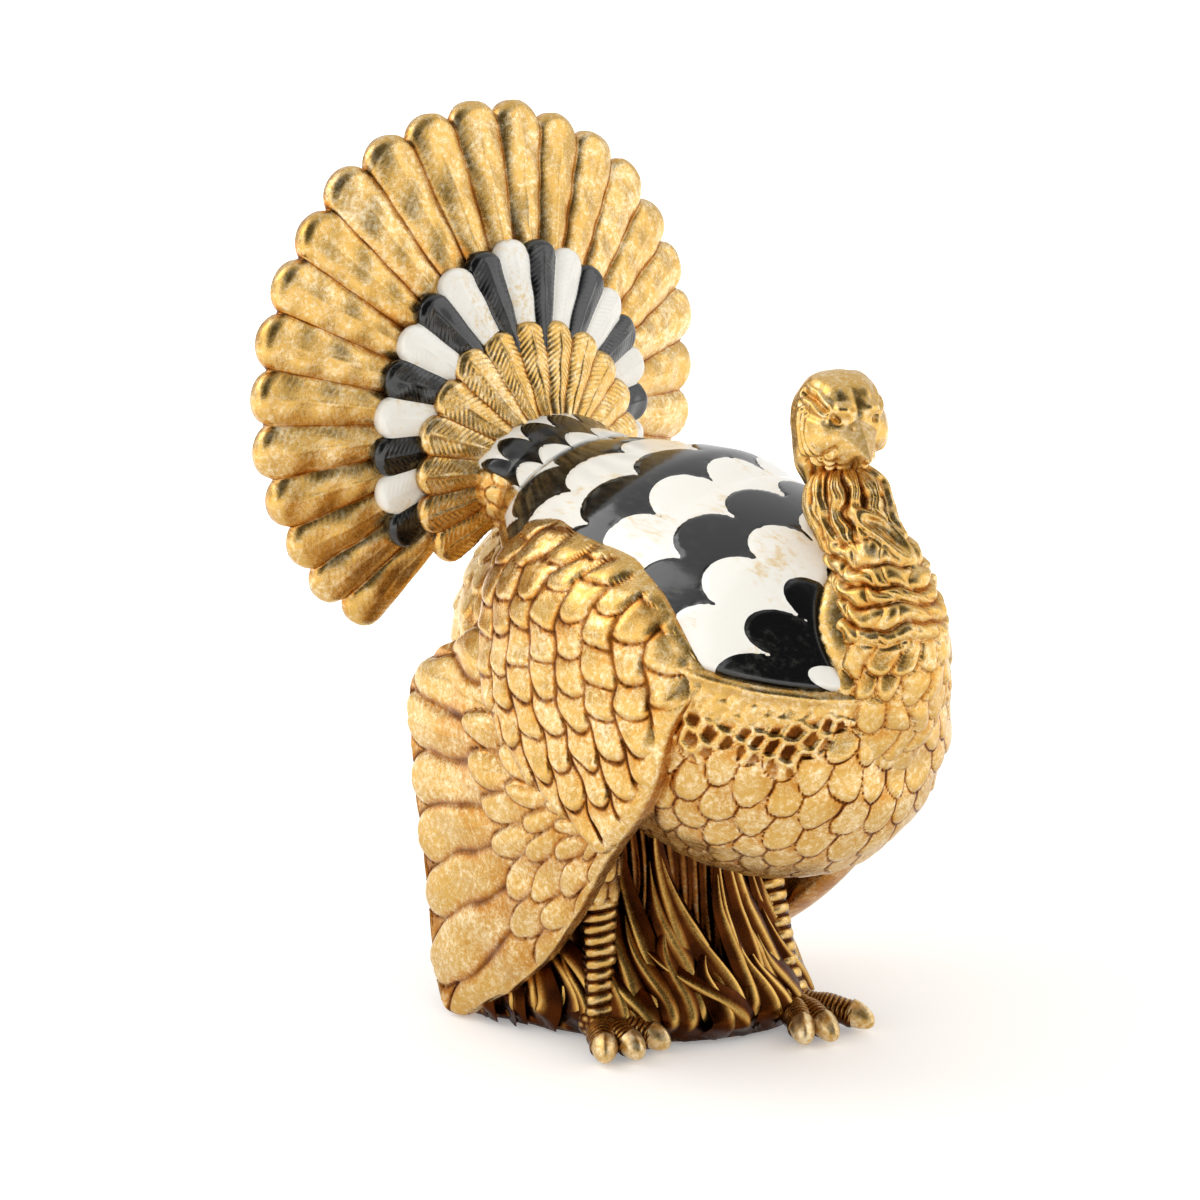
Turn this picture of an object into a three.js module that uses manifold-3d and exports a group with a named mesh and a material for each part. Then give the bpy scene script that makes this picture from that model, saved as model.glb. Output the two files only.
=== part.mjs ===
// A standing turkey figure, cast in resin as separate pieces that are pinned and glued together.
// Millimetres, +Z up. The bird faces -Y, so its right side is at -X. The origin is the middle of
// the felt pad's underside, on the surface that the figure stands on.
import * as THREE from "three";
import { mergeVertices } from "three/addons/utils/BufferGeometryUtils.js";
import Module from "manifold-3d";

const wasm = await Module();
wasm.setup();

// Clearances, walls and tessellation
const jointGap = 0.3;
const pinGap = 0.25;
const cutOverrun = 40;
const weldTolerance = 0.001;
const degree = Math.PI / 180;

// Base: felt pad, grass mound and the plug in its pour hole
const feltThickness = 1.8;
const feltInset = 7;
const baseHalfWidth = 57;
const baseFrontReach = 70;
const baseHeight = 106;
const baseSides = 28;
const baseTwist = 6 * degree;
const bladeLength = 58;
const bladeHalfWidth = 6.4;
const bladeThickness = 4.4;
const bladeSink = 1.2;
const bladeSpacing = 16.5;
const bladeLean = 12;
const bladeTierRise = 36;
const plugRadius = 11;
const plugDepth = 7;
const plugForward = -24;

// Torso: a hollow casting in two halves, a breast shell below and a back shell above
const torsoLength = 206;
const torsoRearY = 34;
const torsoBreastZ = 154.5;
const torsoRise = 85.5;
const torsoHalfWidth = 81;
const torsoHalfHeight = 85;
const torsoWall = 5;
const saddleFrontRise = 33.5;
const saddleRearRise = 41.2;
const collarBehind = 12;
const collarRise = 24;
const collarRadius = 32;

// Tail: a root, three rows of feathers on one cone, and the coverts under it
const rootLength = 34;
const rootEndRise = 9;
const fanApexY = 48;
const fanApexZ = 265;
const fanSlant = 20.5 * degree;
const fanRightTurn = 1.2 * degree;
const fanBack = 8;
const fanRootLength = 22;
const outerLength = 154;
const outerLowLossShare = 0.21;
const outerSideGainShare = 0.035;
const outerFeatherAngle = 11.13 * degree;
const outerRidge = 5;
const outerRootRidge = -5;
const outerGroove = 4.6;
const middleLength = 87.5;
const middleLowLossShare = -0.12;
const middleSideGainShare = -0.05;
const middleFeatherAngle = 13.4 * degree;
const middleRidge = 6.2;
const middleRootRidge = -1.5;
const middleGroove = 2.6;
const innerLength = 70;
const innerDrop = 19;
const innerForward = 1.2;
const innerSlant = 16.5 * degree;
const innerFeatherAngle = 17.2 * degree;
const innerRidge = 4;
const innerRootRidge = 3;
const innerGroove = 2.6;
const undertailHalfWidth = 47;
const undertailHalfLength = 48;
const undertailHalfHeight = 62;
const undertailBehind = 13;
const undertailBelow = 68;

// Wings: a shield of small feathers over a fan of flight feathers, both drooping to the ground
const wingTopZ = 243;
const wingGroundGap = 0.8;
const wingFrontY = -122;
const wingRearY = 67;
const wingHalfSpan = 88;
const shieldThickness = 21;
const shieldStep = 4;
const flightsThickness = 19;
const flightsTopZ = 194;
const wingLobeDepth = 3;
const shieldLeastReach = 8;
const shieldLobes = 10;
const flightLobes = 6;
const leftWingForward = 26; // The left wing's lower part is held this much further forward.
const leftWingLevelZ = 72;
const leftWingWristZ = 124;

// Neck, head and beak
const neckInset = 11;
const neckRadius = 33;
const neckBelow = 16;
const neckHeight = 109;
const neckRollPitch = 7.8;
const neckRollDepth = 2.6;
const neckRopeDepth = 2.4;
const headHalfWidth = 19;
const headHalfLength = 22;
const headHalfHeight = 20.5;
const headBehind = 42.5;
const headRise = 17;
const headTurn = 22 * degree;
const beakLength = 21;
const beakRadius = 9.5;
const beakDrop = 12;
const browRadius = 7;
const cheekRadius = 9.5;
const snoodRadius = 4.2;

// Legs and feet
const hipZ = 92;
const legRadius = 6.5;
const legRing = 0.8;
const legRingPitch = 9;
const legSwellShare = 0.8;
const ankleZ = 14;
const toeRadius = 6;
const toeLength = 34;
const clawLength = 9;
const toeGroundGap = 0.7;
const toeArch = 2;

// Steel pins and rods, and the wooden dowels between base and body
const neckPinRadius = 3;
const neckPinLength = 34;
const tailPinRadius = 3;
const tailPinLength = 26;
const tailPinSpacing = 36;
const wingPinRadius = 2.5;
const wingPinLength = 11;
const wingPinInset = 1;
const legRodRadius = 2;
const legRodRise = 7;
const legRodBelow = 8;
const dowelRadius = 6;
const dowelLength = 44;
const dowelRise = 36.5;
const dowelFrontY = -34;
const dowelRearY = 2;

// Levels and places that follow from them
const feltBottomZ = 0;
const baseBottomZ = feltBottomZ + feltThickness + jointGap;
const torsoFrontY = torsoRearY - torsoLength;
const saddleFrontZ = torsoBreastZ + saddleFrontRise;
const collarCentre = [0, torsoFrontY + collarBehind, saddleFrontZ + collarRise];
const neckFrontY = torsoFrontY + neckInset;
const neckBottomZ = saddleFrontZ - neckBelow;
const neckTopZ = neckBottomZ + neckHeight;
const dowelTopZ = torsoBreastZ - torsoHalfHeight + dowelRise;

// Materials
const finish = (color, metalness, roughness) =>
  new THREE.MeshStandardMaterial({ color, metalness, roughness });
const goldLeaf = finish(0xd9a24e, 0.9, 0.35);
const umberGold = finish(0x8f6326, 0.85, 0.4);
const ivoryEnamel = finish(0xefebdd, 0, 0.15);
const blackEnamel = finish(0x17171a, 0, 0.15);
const darkFelt = finish(0x2b2622, 0, 0.95);
const steel = finish(0x9a9da1, 0.9, 0.35);
const beech = finish(0xc49a63, 0, 0.7);
const rubber = finish(0x2a2a2a, 0, 0.8);

// Vector and table helpers
const at = (x, y, z) => new THREE.Vector3(x, y, z);
const lerp = THREE.MathUtils.lerp;
const clamp = THREE.MathUtils.clamp;

// A smooth value on a table of rows, at t from 0 on its first row to 1 on its last.
function rowAt(table, t) {
  const place = clamp(t, 0, 1) * (table.length - 1);
  const row = Math.min(Math.floor(place), table.length - 2);
  const u = place - row;
  const pick = (k) => table[clamp(row + k, 0, table.length - 1)];
  return pick(0).map((_, c) => {
    const [a, b, d, e] = [pick(-1)[c], pick(0)[c], pick(1)[c], pick(2)[c]];
    return b + 0.5 * u * (d - a + u * (2 * a - 5 * b + 4 * d - e + u * (3 * (b - d) + e - a)));
  });
}

// Solids
function solid(points, triangles) {
  const make = (order) =>
    new wasm.Manifold(
      new wasm.Mesh({
        numProp: 3,
        vertProperties: new Float32Array(points.flatMap((p) => [p.x, p.y, p.z])),
        triVerts: new Uint32Array(order),
      }),
    );
  const made = make(triangles);
  return made.volume() > 0 ? made : make(triangles.toReversed());
}

// A three.js geometry as a solid.
function solidOf(geometry) {
  const bare = geometry.clone().deleteAttribute("normal").deleteAttribute("uv");
  const merged = mergeVertices(bare, weldTolerance);
  const place = merged.getAttribute("position");
  const points = Array.from({ length: place.count }, (_, i) => at().fromBufferAttribute(place, i));
  const index = Array.from(merged.index.array);
  const kept = [];
  for (let i = 0; i < index.length; i += 3) {
    const [a, b, c] = index.slice(i, i + 3);
    if (a !== b && b !== c && c !== a) kept.push(a, b, c);
  }
  return solid(points, kept);
}

// A closed solid through rings of equally many points, capped at both ends on the ring's centre.
function loft(rings) {
  const around = rings[0].length;
  const centre = (ring) => ring.reduce((sum, p) => sum.add(p), at(0, 0, 0)).divideScalar(around);
  const points = [...rings.flat(), centre(rings[0]), centre(rings.at(-1))];
  const last = (rings.length - 1) * around;
  const triangles = [];
  for (let k = 0; k < around; k++) {
    const next = (k + 1) % around;
    for (let r = 0; r < last; r += around) {
      triangles.push(r + k, r + next, r + around + k);
      triangles.push(r + next, r + around + next, r + around + k);
    }
    triangles.push(points.length - 2, next, k);
    triangles.push(points.length - 1, last + k, last + next);
  }
  return solid(points, triangles);
}

// An ellipse of points about a centre, in the plane of two directions.
function ellipse(centre, across, rise, halfWidth, halfHeight, count) {
  return Array.from({ length: count }, (_, k) => {
    const turn = (2 * Math.PI * k) / count;
    return centre
      .clone()
      .addScaledVector(across, halfWidth * Math.cos(turn))
      .addScaledVector(rise, halfHeight * Math.sin(turn));
  });
}

// Rings along a path in the plane of symmetry: row(t) gives y, z, half width and half height.
function spineRings(row, steps, count, grow) {
  const across = at(1, 0, 0);
  const nearShare = 0.01;
  return steps.map((t) => {
    const [y, z, halfWidth, halfHeight] = row(t);
    const [y1, z1] = row(t + nearShare);
    const [y0, z0] = row(t - nearShare);
    const rise = at(0, z1 - z0, y0 - y1).normalize();
    return ellipse(at(0, y, z), across, rise, halfWidth + grow, halfHeight + grow, count);
  });
}

const evenly = (count, from = 0, to = 1) =>
  Array.from({ length: count + 1 }, (_, k) => lerp(from, to, k / count));

// A straight round rod between two points.
function rod(from, to, radius, sides = 12) {
  const length = from.distanceTo(to);
  const turn = new THREE.Quaternion().setFromUnitVectors(
    at(0, 1, 0),
    to.clone().sub(from).normalize(),
  );
  const geometry = new THREE.CylinderGeometry(radius, radius, length, sides);
  geometry.applyQuaternion(turn);
  geometry.translate(...from.clone().add(to).divideScalar(2).toArray());
  return solidOf(geometry);
}

// An ellipsoid, turned about Z, at a centre.
function ball(centre, halfWidth, halfLength, halfHeight, turn = 0, sides = 14) {
  const geometry = new THREE.SphereGeometry(1, sides, sides / 2);
  geometry.rotateX(Math.PI / 2);
  geometry.scale(halfWidth, halfLength, halfHeight);
  geometry.rotateZ(turn);
  geometry.translate(...centre.toArray());
  return solidOf(geometry);
}

const sphere = (centre, radius, sides) => ball(centre, radius, radius, radius, 0, sides);
const largest = (whole) =>
  whole.decompose().reduce((best, s) => (s.volume() > best.volume() ? s : best));
const without = (piece, ...cutters) => cutters.reduce((left, c) => left.subtract(c), piece);
const both = (left, right) => left.add(right);

// Torso. Each row: share of the length, share of the rise, share of half width, of half height.
const torsoShares = [
  [0, 0.93, 0.5, 0.4],
  [0.092, 0.8, 0.7, 0.6],
  [0.238, 0.585, 0.914, 0.88],
  [0.383, 0.38, 0.988, 0.965],
  [0.544, 0.24, 1, 1],
  [0.689, 0.165, 0.955, 0.965],
  [0.82, 0.12, 0.81, 0.835],
  [0.917, 0.1, 0.6, 0.62],
  [0.98, 0.095, 0.33, 0.34],
  [1, 0.09, 0.02, 0.02],
];
const hollowShares = [0.16, 0.9];
const torsoRow = (t) => {
  const [along, rise, width, height] = rowAt(torsoShares, t);
  return [
    torsoRearY - along * torsoLength,
    torsoBreastZ + rise * torsoRise,
    width * torsoHalfWidth,
    height * torsoHalfHeight,
  ];
};
const torsoSteps = [...evenly(13, 0, 0.84), 0.9, 0.95, 1];
const torsoForm = (grow) => loft(spineRings(torsoRow, torsoSteps, 24, grow));
const torsoHollow = loft(spineRings(torsoRow, evenly(7, ...hollowShares), 16, -torsoWall));

// The space of the breast shell: all under a sloping plane, and a collar round the neck.
function breastSpace(lift) {
  const span = torsoLength + 2 * cutOverrun;
  const box = new THREE.BoxGeometry(span, 2 * span, span);
  box.translate(0, 0, -span / 2);
  box.rotateX(Math.atan(saddleRearRise / torsoLength));
  box.translate(0, torsoFrontY, saddleFrontZ + lift);
  const collar = sphere(at(...collarCentre), collarRadius + lift, 24);
  return both(solidOf(box), collar);
}
const torsoWhole = torsoForm(0);
const torsoGrown = torsoForm(jointGap);
const torsoShell = torsoWhole.subtract(torsoHollow);
let breastShell = torsoShell.intersect(breastSpace(0));
let backShell = largest(torsoShell.subtract(breastSpace(jointGap)));

// Tail root: it goes on from the torso's rear end and passes through the feather rows.
const rootShares = [
  [0, 0.5, 0.4],
  [0.3, 0.47, 0.34],
  [0.6, 0.5, 0.32],
  [1, 0.46, 0.28],
];
const rootTangent = (() => {
  const [y1, z1] = torsoRow(0.01);
  const [y0, z0] = torsoRow(0);
  return at(0, y0 - y1, z0 - z1).normalize();
})();
const torsoEnd = at(0, ...torsoRow(0).slice(0, 2));
function rootForm(grow) {
  const rings = evenly(6).map((t) => {
    const [along, width, height] = rowAt(rootShares, t);
    const centre = torsoEnd
      .clone()
      .addScaledVector(rootTangent, jointGap + rootLength * along * (1 - along))
      .add(at(0, rootLength * along * along, rootEndRise * along * along));
    const rise = at(0, -rootTangent.z * (1 - along), rootTangent.y).normalize();
    const [halfWidth, halfHeight] = [width * torsoHalfWidth, height * torsoHalfHeight];
    return ellipse(centre, at(1, 0, 0), rise, halfWidth + grow, halfHeight + grow, 24);
  });
  if (grow) rings[0] = rings[0].map((p) => p.clone().addScaledVector(rootTangent, -grow));
  if (grow) rings[6] = rings[6].map((p) => p.clone().add(at(0, cutOverrun, 0)));
  return loft(rings);
}
let tailRoot = rootForm(0);
const rootGrown = rootForm(1.5 * jointGap);

// A point on a cone about a feather row's apex, at a turn, a length from the apex and a height in
// front of it. Turn is 0 for the top feather, positive to -X.
function onCone({ apex, slant }, turn, length, height) {
  const [s, c] = [Math.sin(turn + fanRightTurn), Math.cos(turn + fanRightTurn)];
  const [ss, cs] = [Math.sin(slant), Math.cos(slant)];
  return apex
    .clone()
    .addScaledVector(at(-s * cs, ss, c * cs), length)
    .addScaledVector(at(-s * ss, -cs, c * ss), height);
}

// A row of feathers: round tips, a ridge along each and a groove between neighbours. The ridge
// comes down towards the row's root, so that the row in front lies low over it. A smooth row has
// its ridge's height all over, and clears the row in front.
function featherRow(row, smooth = false) {
  const { each, angle, tip, lowLoss, sideGain, ridge, rootRidge, groove } = row;
  const grow = smooth ? jointGap : 0;
  const perFeather = smooth ? 2 : row.perFeather;
  const half = (each + 0.5) * angle;
  const turns = evenly((2 * each + 1) * perFeather, -half, half);
  const roundShare = 0.94;
  return loft(
    turns.map((turn) => {
      const nearest = clamp(Math.round(turn / angle), -each, each) * angle;
      const across = Math.min(1, Math.abs(turn - nearest) / (angle / 2)) * roundShare;
      const arch = smooth ? 1 : Math.sqrt(1 - across * across);
      const low = (lowLoss * (1 - Math.cos(nearest))) / 2;
      const full = tip * (1 - low + sideGain * Math.sin(nearest) ** 2);
      const halfWidth = (full * Math.cos(row.slant) * angle) / 2;
      const end = full - halfWidth * 0.85 * (1 - arch) + grow;
      const back = groove * 0.5 * (1 - arch) - fanBack - grow;
      const top = (length) => {
        const along = (length - fanRootLength) / (full - fanRootLength);
        return lerp(rootRidge, ridge, along) - groove * (1 - arch) + grow;
      };
      const point = (length, height) => onCone(row, turn, length, height);
      const root = fanRootLength - grow;
      const shoulder = end - halfWidth * 0.3;
      return [
        point(root, back),
        point(root, top(root)),
        point((root + end) / 2, top((root + end) / 2)),
        point(shoulder, top(shoulder)),
        point(end, lerp(back, top(end), 0.68)),
        point(end - halfWidth * 0.12, lerp(back, top(end), 0.2)),
        point(end - halfWidth * 0.4, back),
      ];
    }),
  );
}
const fanApex = at(0, fanApexY, fanApexZ);
const outerShape = {
  apex: fanApex,
  slant: fanSlant,
  each: 12,
  angle: outerFeatherAngle,
  tip: outerLength,
  lowLoss: outerLowLossShare,
  sideGain: outerSideGainShare,
  ridge: outerRidge,
  rootRidge: outerRootRidge,
  groove: outerGroove,
  perFeather: 4,
};
const middleShape = {
  apex: fanApex,
  slant: fanSlant,
  each: 9,
  angle: middleFeatherAngle,
  tip: middleLength,
  lowLoss: middleLowLossShare,
  sideGain: middleSideGainShare,
  ridge: middleRidge,
  rootRidge: middleRootRidge,
  groove: middleGroove,
  perFeather: 4,
};
const innerShape = {
  apex: fanApex.clone().sub(at(0, innerForward, innerDrop)),
  slant: innerSlant,
  each: 7,
  angle: innerFeatherAngle,
  tip: innerLength,
  lowLoss: 0,
  sideGain: 0,
  ridge: innerRidge,
  rootRidge: innerRootRidge,
  groove: innerGroove,
  perFeather: 4,
};
const [outerSpace, middleSpace, innerSpace] = [outerShape, middleShape, innerShape].map((row) =>
  featherRow(row, true),
);
const tailOuterRow = largest(without(featherRow(outerShape), rootGrown, torsoGrown));
const tailMiddleRow = largest(without(featherRow(middleShape), outerSpace, rootGrown, torsoGrown));
const tailInnerRow = largest(without(featherRow(innerShape), middleSpace, rootGrown, torsoGrown));

// Coverts under the tail, between the torso, the root and the feather rows.
const undertailCentre = torsoEnd.clone().add(at(0, undertailBehind, -undertailBelow));
const undertailForm = (grow) =>
  ball(
    undertailCentre,
    undertailHalfWidth + grow,
    undertailHalfLength + grow,
    undertailHalfHeight + grow,
    0,
    20,
  );
const undertailCoverts = largest(
  without(undertailForm(0), torsoGrown, rootGrown, outerSpace, middleSpace, innerSpace),
);

// Wings, as horizontal slices. Each row: share of the height, front and rear as shares of the
// wing's reach, outer half span at front and rear as shares, and bulge as a share.
const wingShares = [
  [0, -0.25, 0.6, 0.75, 0.85, 0.01],
  [0.031, -0.18, 0.68, 0.773, 0.85, 0.02],
  [0.08, -0.03, 0.74, 0.795, 0.852, 0.03],
  [0.176, 0.2, 0.78, 0.852, 0.852, 0.034],
  [0.267, 0.37, 0.82, 0.898, 0.852, 0.034],
  [0.35, 0.5, 0.86, 0.932, 0.852, 0.034],
  [0.411, 0.59, 0.91, 0.955, 0.852, 0.045],
  [0.48, 0.713, 0.96, 1, 0.84, 0.045],
  [0.535, 0.803, 0.985, 1, 0.83, 0.057],
  [0.604, 0.869, 1.02, 0.977, 0.818, 0.08],
  [0.65, 0.893, 0.99, 0.966, 0.795, 0.09],
  [0.7, 0.91, 0.8, 0.932, 0.773, 0.125],
  [0.749, 0.951, 0.5, 0.886, 0.795, 0.136],
  [0.802, 1, 0.299, 0.795, 0.795, 0.17],
  [0.864, 0.91, 0.284, 0.818, 0.773, 0.136],
  [0.926, 0.762, 0.179, 0.773, 0.727, 0.114],
  [0.971, 0.574, 0.03, 0.705, 0.682, 0.068],
  [1, 0.287, -0.075, 0.648, 0.648, 0.02],
];
// The shield's rear edge, as a share of the wing's rear reach, from its lowest lobe to the top.
const shieldShares = [
  [0.46, -1.27],
  [0.5, -0.9],
  [0.54, -0.5],
  [0.59, -0.22],
  [0.645, -0.03],
  [0.7, 0.12],
  [0.75, 0.21],
  [0.8, 0.3],
  [1, 0.3],
];
const heightShares = wingShares.map(([share]) => share);
function tableAt(keys, table, key) {
  const next = clamp(
    keys.findIndex((k) => k >= key),
    1,
    keys.length - 1,
  );
  const within = clamp((key - keys[next - 1]) / (keys[next] - keys[next - 1]), 0, 1);
  return rowAt(table, (next - 1 + within) / (keys.length - 1));
}
function wingRow(z) {
  const height = wingTopZ - wingGroundGap;
  const share = clamp((z - wingGroundGap) / height, 0, 1);
  const [, front, rear, spanFront, spanRear, bulge] = tableAt(heightShares, wingShares, share);
  return { share, front: front * wingFrontY, rear: rear * wingRearY, spanFront, spanRear, bulge };
}
const shieldRear = (share) =>
  tableAt(
    shieldShares.map(([s]) => s),
    shieldShares,
    share,
  )[1] * wingRearY;

// One slice of a wing: its outer curve from front to rear, then its inner curve back.
const edgeShare = 0.5;
function wingSlice(z, from, to, outset, thickness, grow, count) {
  const { front, rear, spanFront, spanRear, bulge } = wingRow(z);
  const curve = (q, inset) => {
    const y = lerp(from - grow, to + grow, q);
    const whole = clamp((y - front) / (rear - front), 0, 1);
    const span = lerp(spanFront, spanRear, whole) + bulge * 4 * whole * (1 - whole);
    const edge = Math.pow(Math.abs(2 * q - 1), 6);
    return at(-(span * wingHalfSpan + outset - inset - edge * (outset - inset)), y, z);
  };
  const outer = evenly(count).map((q) => curve(q, -grow));
  const inner = evenly(count, 1, 0).map((q) => {
    const point = curve(q, -grow);
    const swell = edgeShare + (1 - edgeShare) * Math.sin(Math.PI * q);
    return point.setX(point.x + thickness * swell + 2 * grow);
  });
  return [...outer, ...inner];
}
const lobe = (z, count, height) => Math.abs(Math.sin((z / height) * count * Math.PI));
function shieldForm(grow) {
  const low = wingGroundGap + 0.47 * (wingTopZ - wingGroundGap);
  const levels = evenly(20, low - grow, wingTopZ + grow);
  return loft(
    levels.map((z) => {
      const { share, front, rear } = wingRow(z);
      const to = Math.min(rear, shieldRear(share)) + wingLobeDepth * lobe(z, shieldLobes, wingTopZ);
      const end = Math.max(to, front + shieldLeastReach);
      return wingSlice(z, front, end, shieldStep, shieldThickness, grow, 6);
    }),
  );
}
function flightsForm(grow, forward = 0) {
  const levels = evenly(24, wingGroundGap - grow, flightsTopZ + grow);
  return loft(
    levels.map((z) => {
      const { front, rear } = wingRow(z);
      const rise = clamp((z - 0.8 * flightsTopZ) / (0.2 * flightsTopZ), 0, 1);
      const from = lerp(front, rear * 0.2, rise * rise);
      const low = clamp((leftWingWristZ - z) / (leftWingWristZ - leftWingLevelZ), 0, 1);
      const shift = forward * low * low * (3 - 2 * low);
      const edge = wingLobeDepth * (1 - lobe(z, flightLobes, flightsTopZ));
      return wingSlice(z, from + edge - shift, rear - edge - shift, 0, flightsThickness, grow, 6);
    }),
  );
}
const rightShield = largest(without(shieldForm(0), torsoGrown));
const flightCutters = [shieldForm(jointGap), torsoGrown, undertailForm(jointGap)];
const rightFlights = largest(without(flightsForm(0), ...flightCutters));
const mirrored = (piece) => piece.mirror([1, 0, 0]);
const leftFlights = mirrored(largest(without(flightsForm(0, leftWingForward), ...flightCutters)));

// Neck. Each row: forward share of the front reach, share of the height, share of the radius.
const neckShares = [
  [0.86, 0, 1.02],
  [0.92, 0.11, 0.96],
  [0.965, 0.25, 0.86],
  [0.985, 0.43, 0.75],
  [0.95, 0.585, 0.61],
  [0.887, 0.72, 0.53],
  [0.833, 0.87, 0.54],
  [0.81, 1, 0.5],
];
const neckRow = (t) => {
  const [forward, height, radius] = rowAt(neckShares, t);
  const z = lerp(neckBottomZ, neckTopZ, height);
  return [neckFrontY * forward, z, radius * neckRadius, radius * neckRadius];
};
// Its skin lies in rolls that go round it below, and in ropes that hang down it above.
const neckRolls = Math.round(neckHeight / neckRollPitch);
const neckRopeShares = [0.5, 0.72];
function neckForm(grow) {
  const rings = spineRings(neckRow, evenly(2 * neckRolls), 18, grow);
  return loft(
    rings.map((ring, j) => {
      const hanging = THREE.MathUtils.smoothstep(j / (2 * neckRolls), ...neckRopeShares);
      const middle = ring.reduce((sum, p) => sum.add(p), at(0, 0, 0)).divideScalar(ring.length);
      return ring.map((p, k) => {
        const roll = (j % 2 ? 0.5 : -0.5) * neckRollDepth;
        const rope = (k % 2 ? 0.5 : -0.5) * neckRopeDepth;
        const out = p.clone().sub(middle).normalize();
        return p.clone().addScaledVector(out, lerp(roll, rope, hanging));
      });
    }),
  );
}
let neck = largest(without(neckForm(0), torsoGrown));

// Head: skull, brows, cheeks, snood and beak, joined. It is turned to the bird's right.
const headCentre = at(0, torsoFrontY + headBehind, neckTopZ + headRise);
const headWards = (forward, side, up) =>
  at(
    -Math.sin(headTurn) * forward - Math.cos(headTurn) * side,
    -Math.cos(headTurn) * forward + Math.sin(headTurn) * side,
    up,
  ).add(headCentre);
const beakRoot = headWards(headHalfLength * 0.6, 0, -beakDrop * 0.15);
const beakTip = headWards(headHalfLength * 0.62 + beakLength, 0, -beakDrop);
const beakShares = [
  [0, 0],
  [1, 0],
  [0.86, 0.34],
  [0.56, 0.72],
  [0.2, 0.96],
  [0, 1],
];
const beak = (() => {
  const length = beakRoot.distanceTo(beakTip);
  const profile = beakShares.map(([r, h]) => new THREE.Vector2(r * beakRadius, h * length));
  const geometry = new THREE.LatheGeometry(profile, 12);
  const turn = new THREE.Quaternion().setFromUnitVectors(
    at(0, 1, 0),
    beakTip.clone().sub(beakRoot).normalize(),
  );
  geometry.applyQuaternion(turn);
  geometry.translate(...beakRoot.toArray());
  return solidOf(geometry);
})();
const headForm = [
  ball(headCentre, headHalfWidth, headHalfLength, headHalfHeight, -headTurn, 18),
  ball(
    headWards(-headHalfLength * 0.1, 0, -headHalfHeight * 0.75),
    headHalfWidth * 0.86,
    headHalfLength * 0.86,
    headHalfHeight * 0.8,
    -headTurn,
  ),
  ...[1, -1].map((side) =>
    sphere(
      headWards(headHalfLength * 0.46, side * headHalfWidth * 0.66, headHalfHeight * 0.3),
      browRadius,
      10,
    ),
  ),
  ...[1, -1].map((side) =>
    sphere(
      headWards(headHalfLength * 0.34, side * headHalfWidth * 0.5, -headHalfHeight * 0.3),
      cheekRadius,
      10,
    ),
  ),
  ball(
    headWards(headHalfLength * 0.9, 0, headHalfHeight * 0.15),
    snoodRadius,
    snoodRadius,
    snoodRadius * 1.3,
    0,
    8,
  ),
  beak,
].reduce(both);
let head = largest(without(headForm, neckForm(jointGap)));

// Legs and feet. Positions are shares of the base's half width and of its front reach.
const sides = {
  right: {
    ankleShares: [-0.77, 0.43],
    hipShares: [-0.86, 0.47],
    toeTurns: [39, 13, -16],
    reachShare: 0.94,
  },
  left: {
    ankleShares: [0.69, 0.98],
    hipShares: [0.68, 0.6],
    toeTurns: [36, 17, -18],
    reachShare: 1.1,
  },
};

// A toe and its claw. Each row: share of the reach, share of the toe's radius.
const toeShares = [
  [0, 0.9],
  [0.3, 1],
  [0.62, 0.95],
  [0.8, 0.86],
  [0.82, 0.72],
  [0.92, 0.55],
  [1, 0.18],
];
function legAxis({ ankleShares, hipShares }) {
  return [
    at(ankleShares[0] * baseHalfWidth, -ankleShares[1] * baseFrontReach, ankleZ),
    at(hipShares[0] * baseHalfWidth, -hipShares[1] * baseFrontReach, hipZ),
  ];
}
function legForm(side, grow) {
  const [ankle, hip] = legAxis(side);
  const steps = Math.round((hip.z - ankle.z) / legRingPitch) * 2;
  const rings = evenly(steps).map((t, k) => {
    const swell = 1 + legSwellShare * t * t;
    const radius = legRadius * swell + (k % 2 ? legRing : 0) + grow;
    return ellipse(ankle.clone().lerp(hip, t), at(1, 0, 0), at(0, 1, 0), radius, radius, 10);
  });
  return loft(rings);
}
function footForm(side, grow) {
  const [ankle] = legAxis(side);
  const top = ankleZ - jointGap;
  const knuckle = ball(
    at(ankle.x, ankle.y, ankleZ * 0.55),
    legRadius + grow,
    legRadius + grow,
    ankleZ * 0.5 + grow,
    0,
    12,
  );
  const toes = side.toeTurns.map((turn) => {
    const heading = turn * degree;
    const forward = at(-Math.sin(heading), -Math.cos(heading), 0);
    const across = at(Math.cos(heading), -Math.sin(heading), 0);
    const rings = toeShares.map(([along, thick]) => {
      const radius = toeRadius * thick + grow;
      const low = toeGroundGap + feltBottomZ + toeRadius * thick;
      const centre = at(ankle.x, ankle.y, lerp(low, low + toeArch, 1 - along));
      centre.addScaledVector(forward, along * side.reachShare * (toeLength + clawLength * 0.5));
      return ellipse(centre, across, at(0, 0, 1), radius, radius, 8);
    });
    return loft(rings);
  });
  const box = new THREE.BoxGeometry(cutOverrun * 4, cutOverrun * 4, cutOverrun);
  box.translate(ankle.x, ankle.y, top + grow + cutOverrun / 2);
  return [knuckle, ...toes].reduce(both).subtract(solidOf(box));
}
const legs = Object.fromEntries(
  Object.entries(sides).map(([name, side]) => [
    name,
    largest(without(legForm(side, 0), torsoGrown)),
  ]),
);
const feet = Object.fromEntries(
  Object.entries(sides).map(([name, side]) => [name, footForm(side, 0)]),
);

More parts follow.
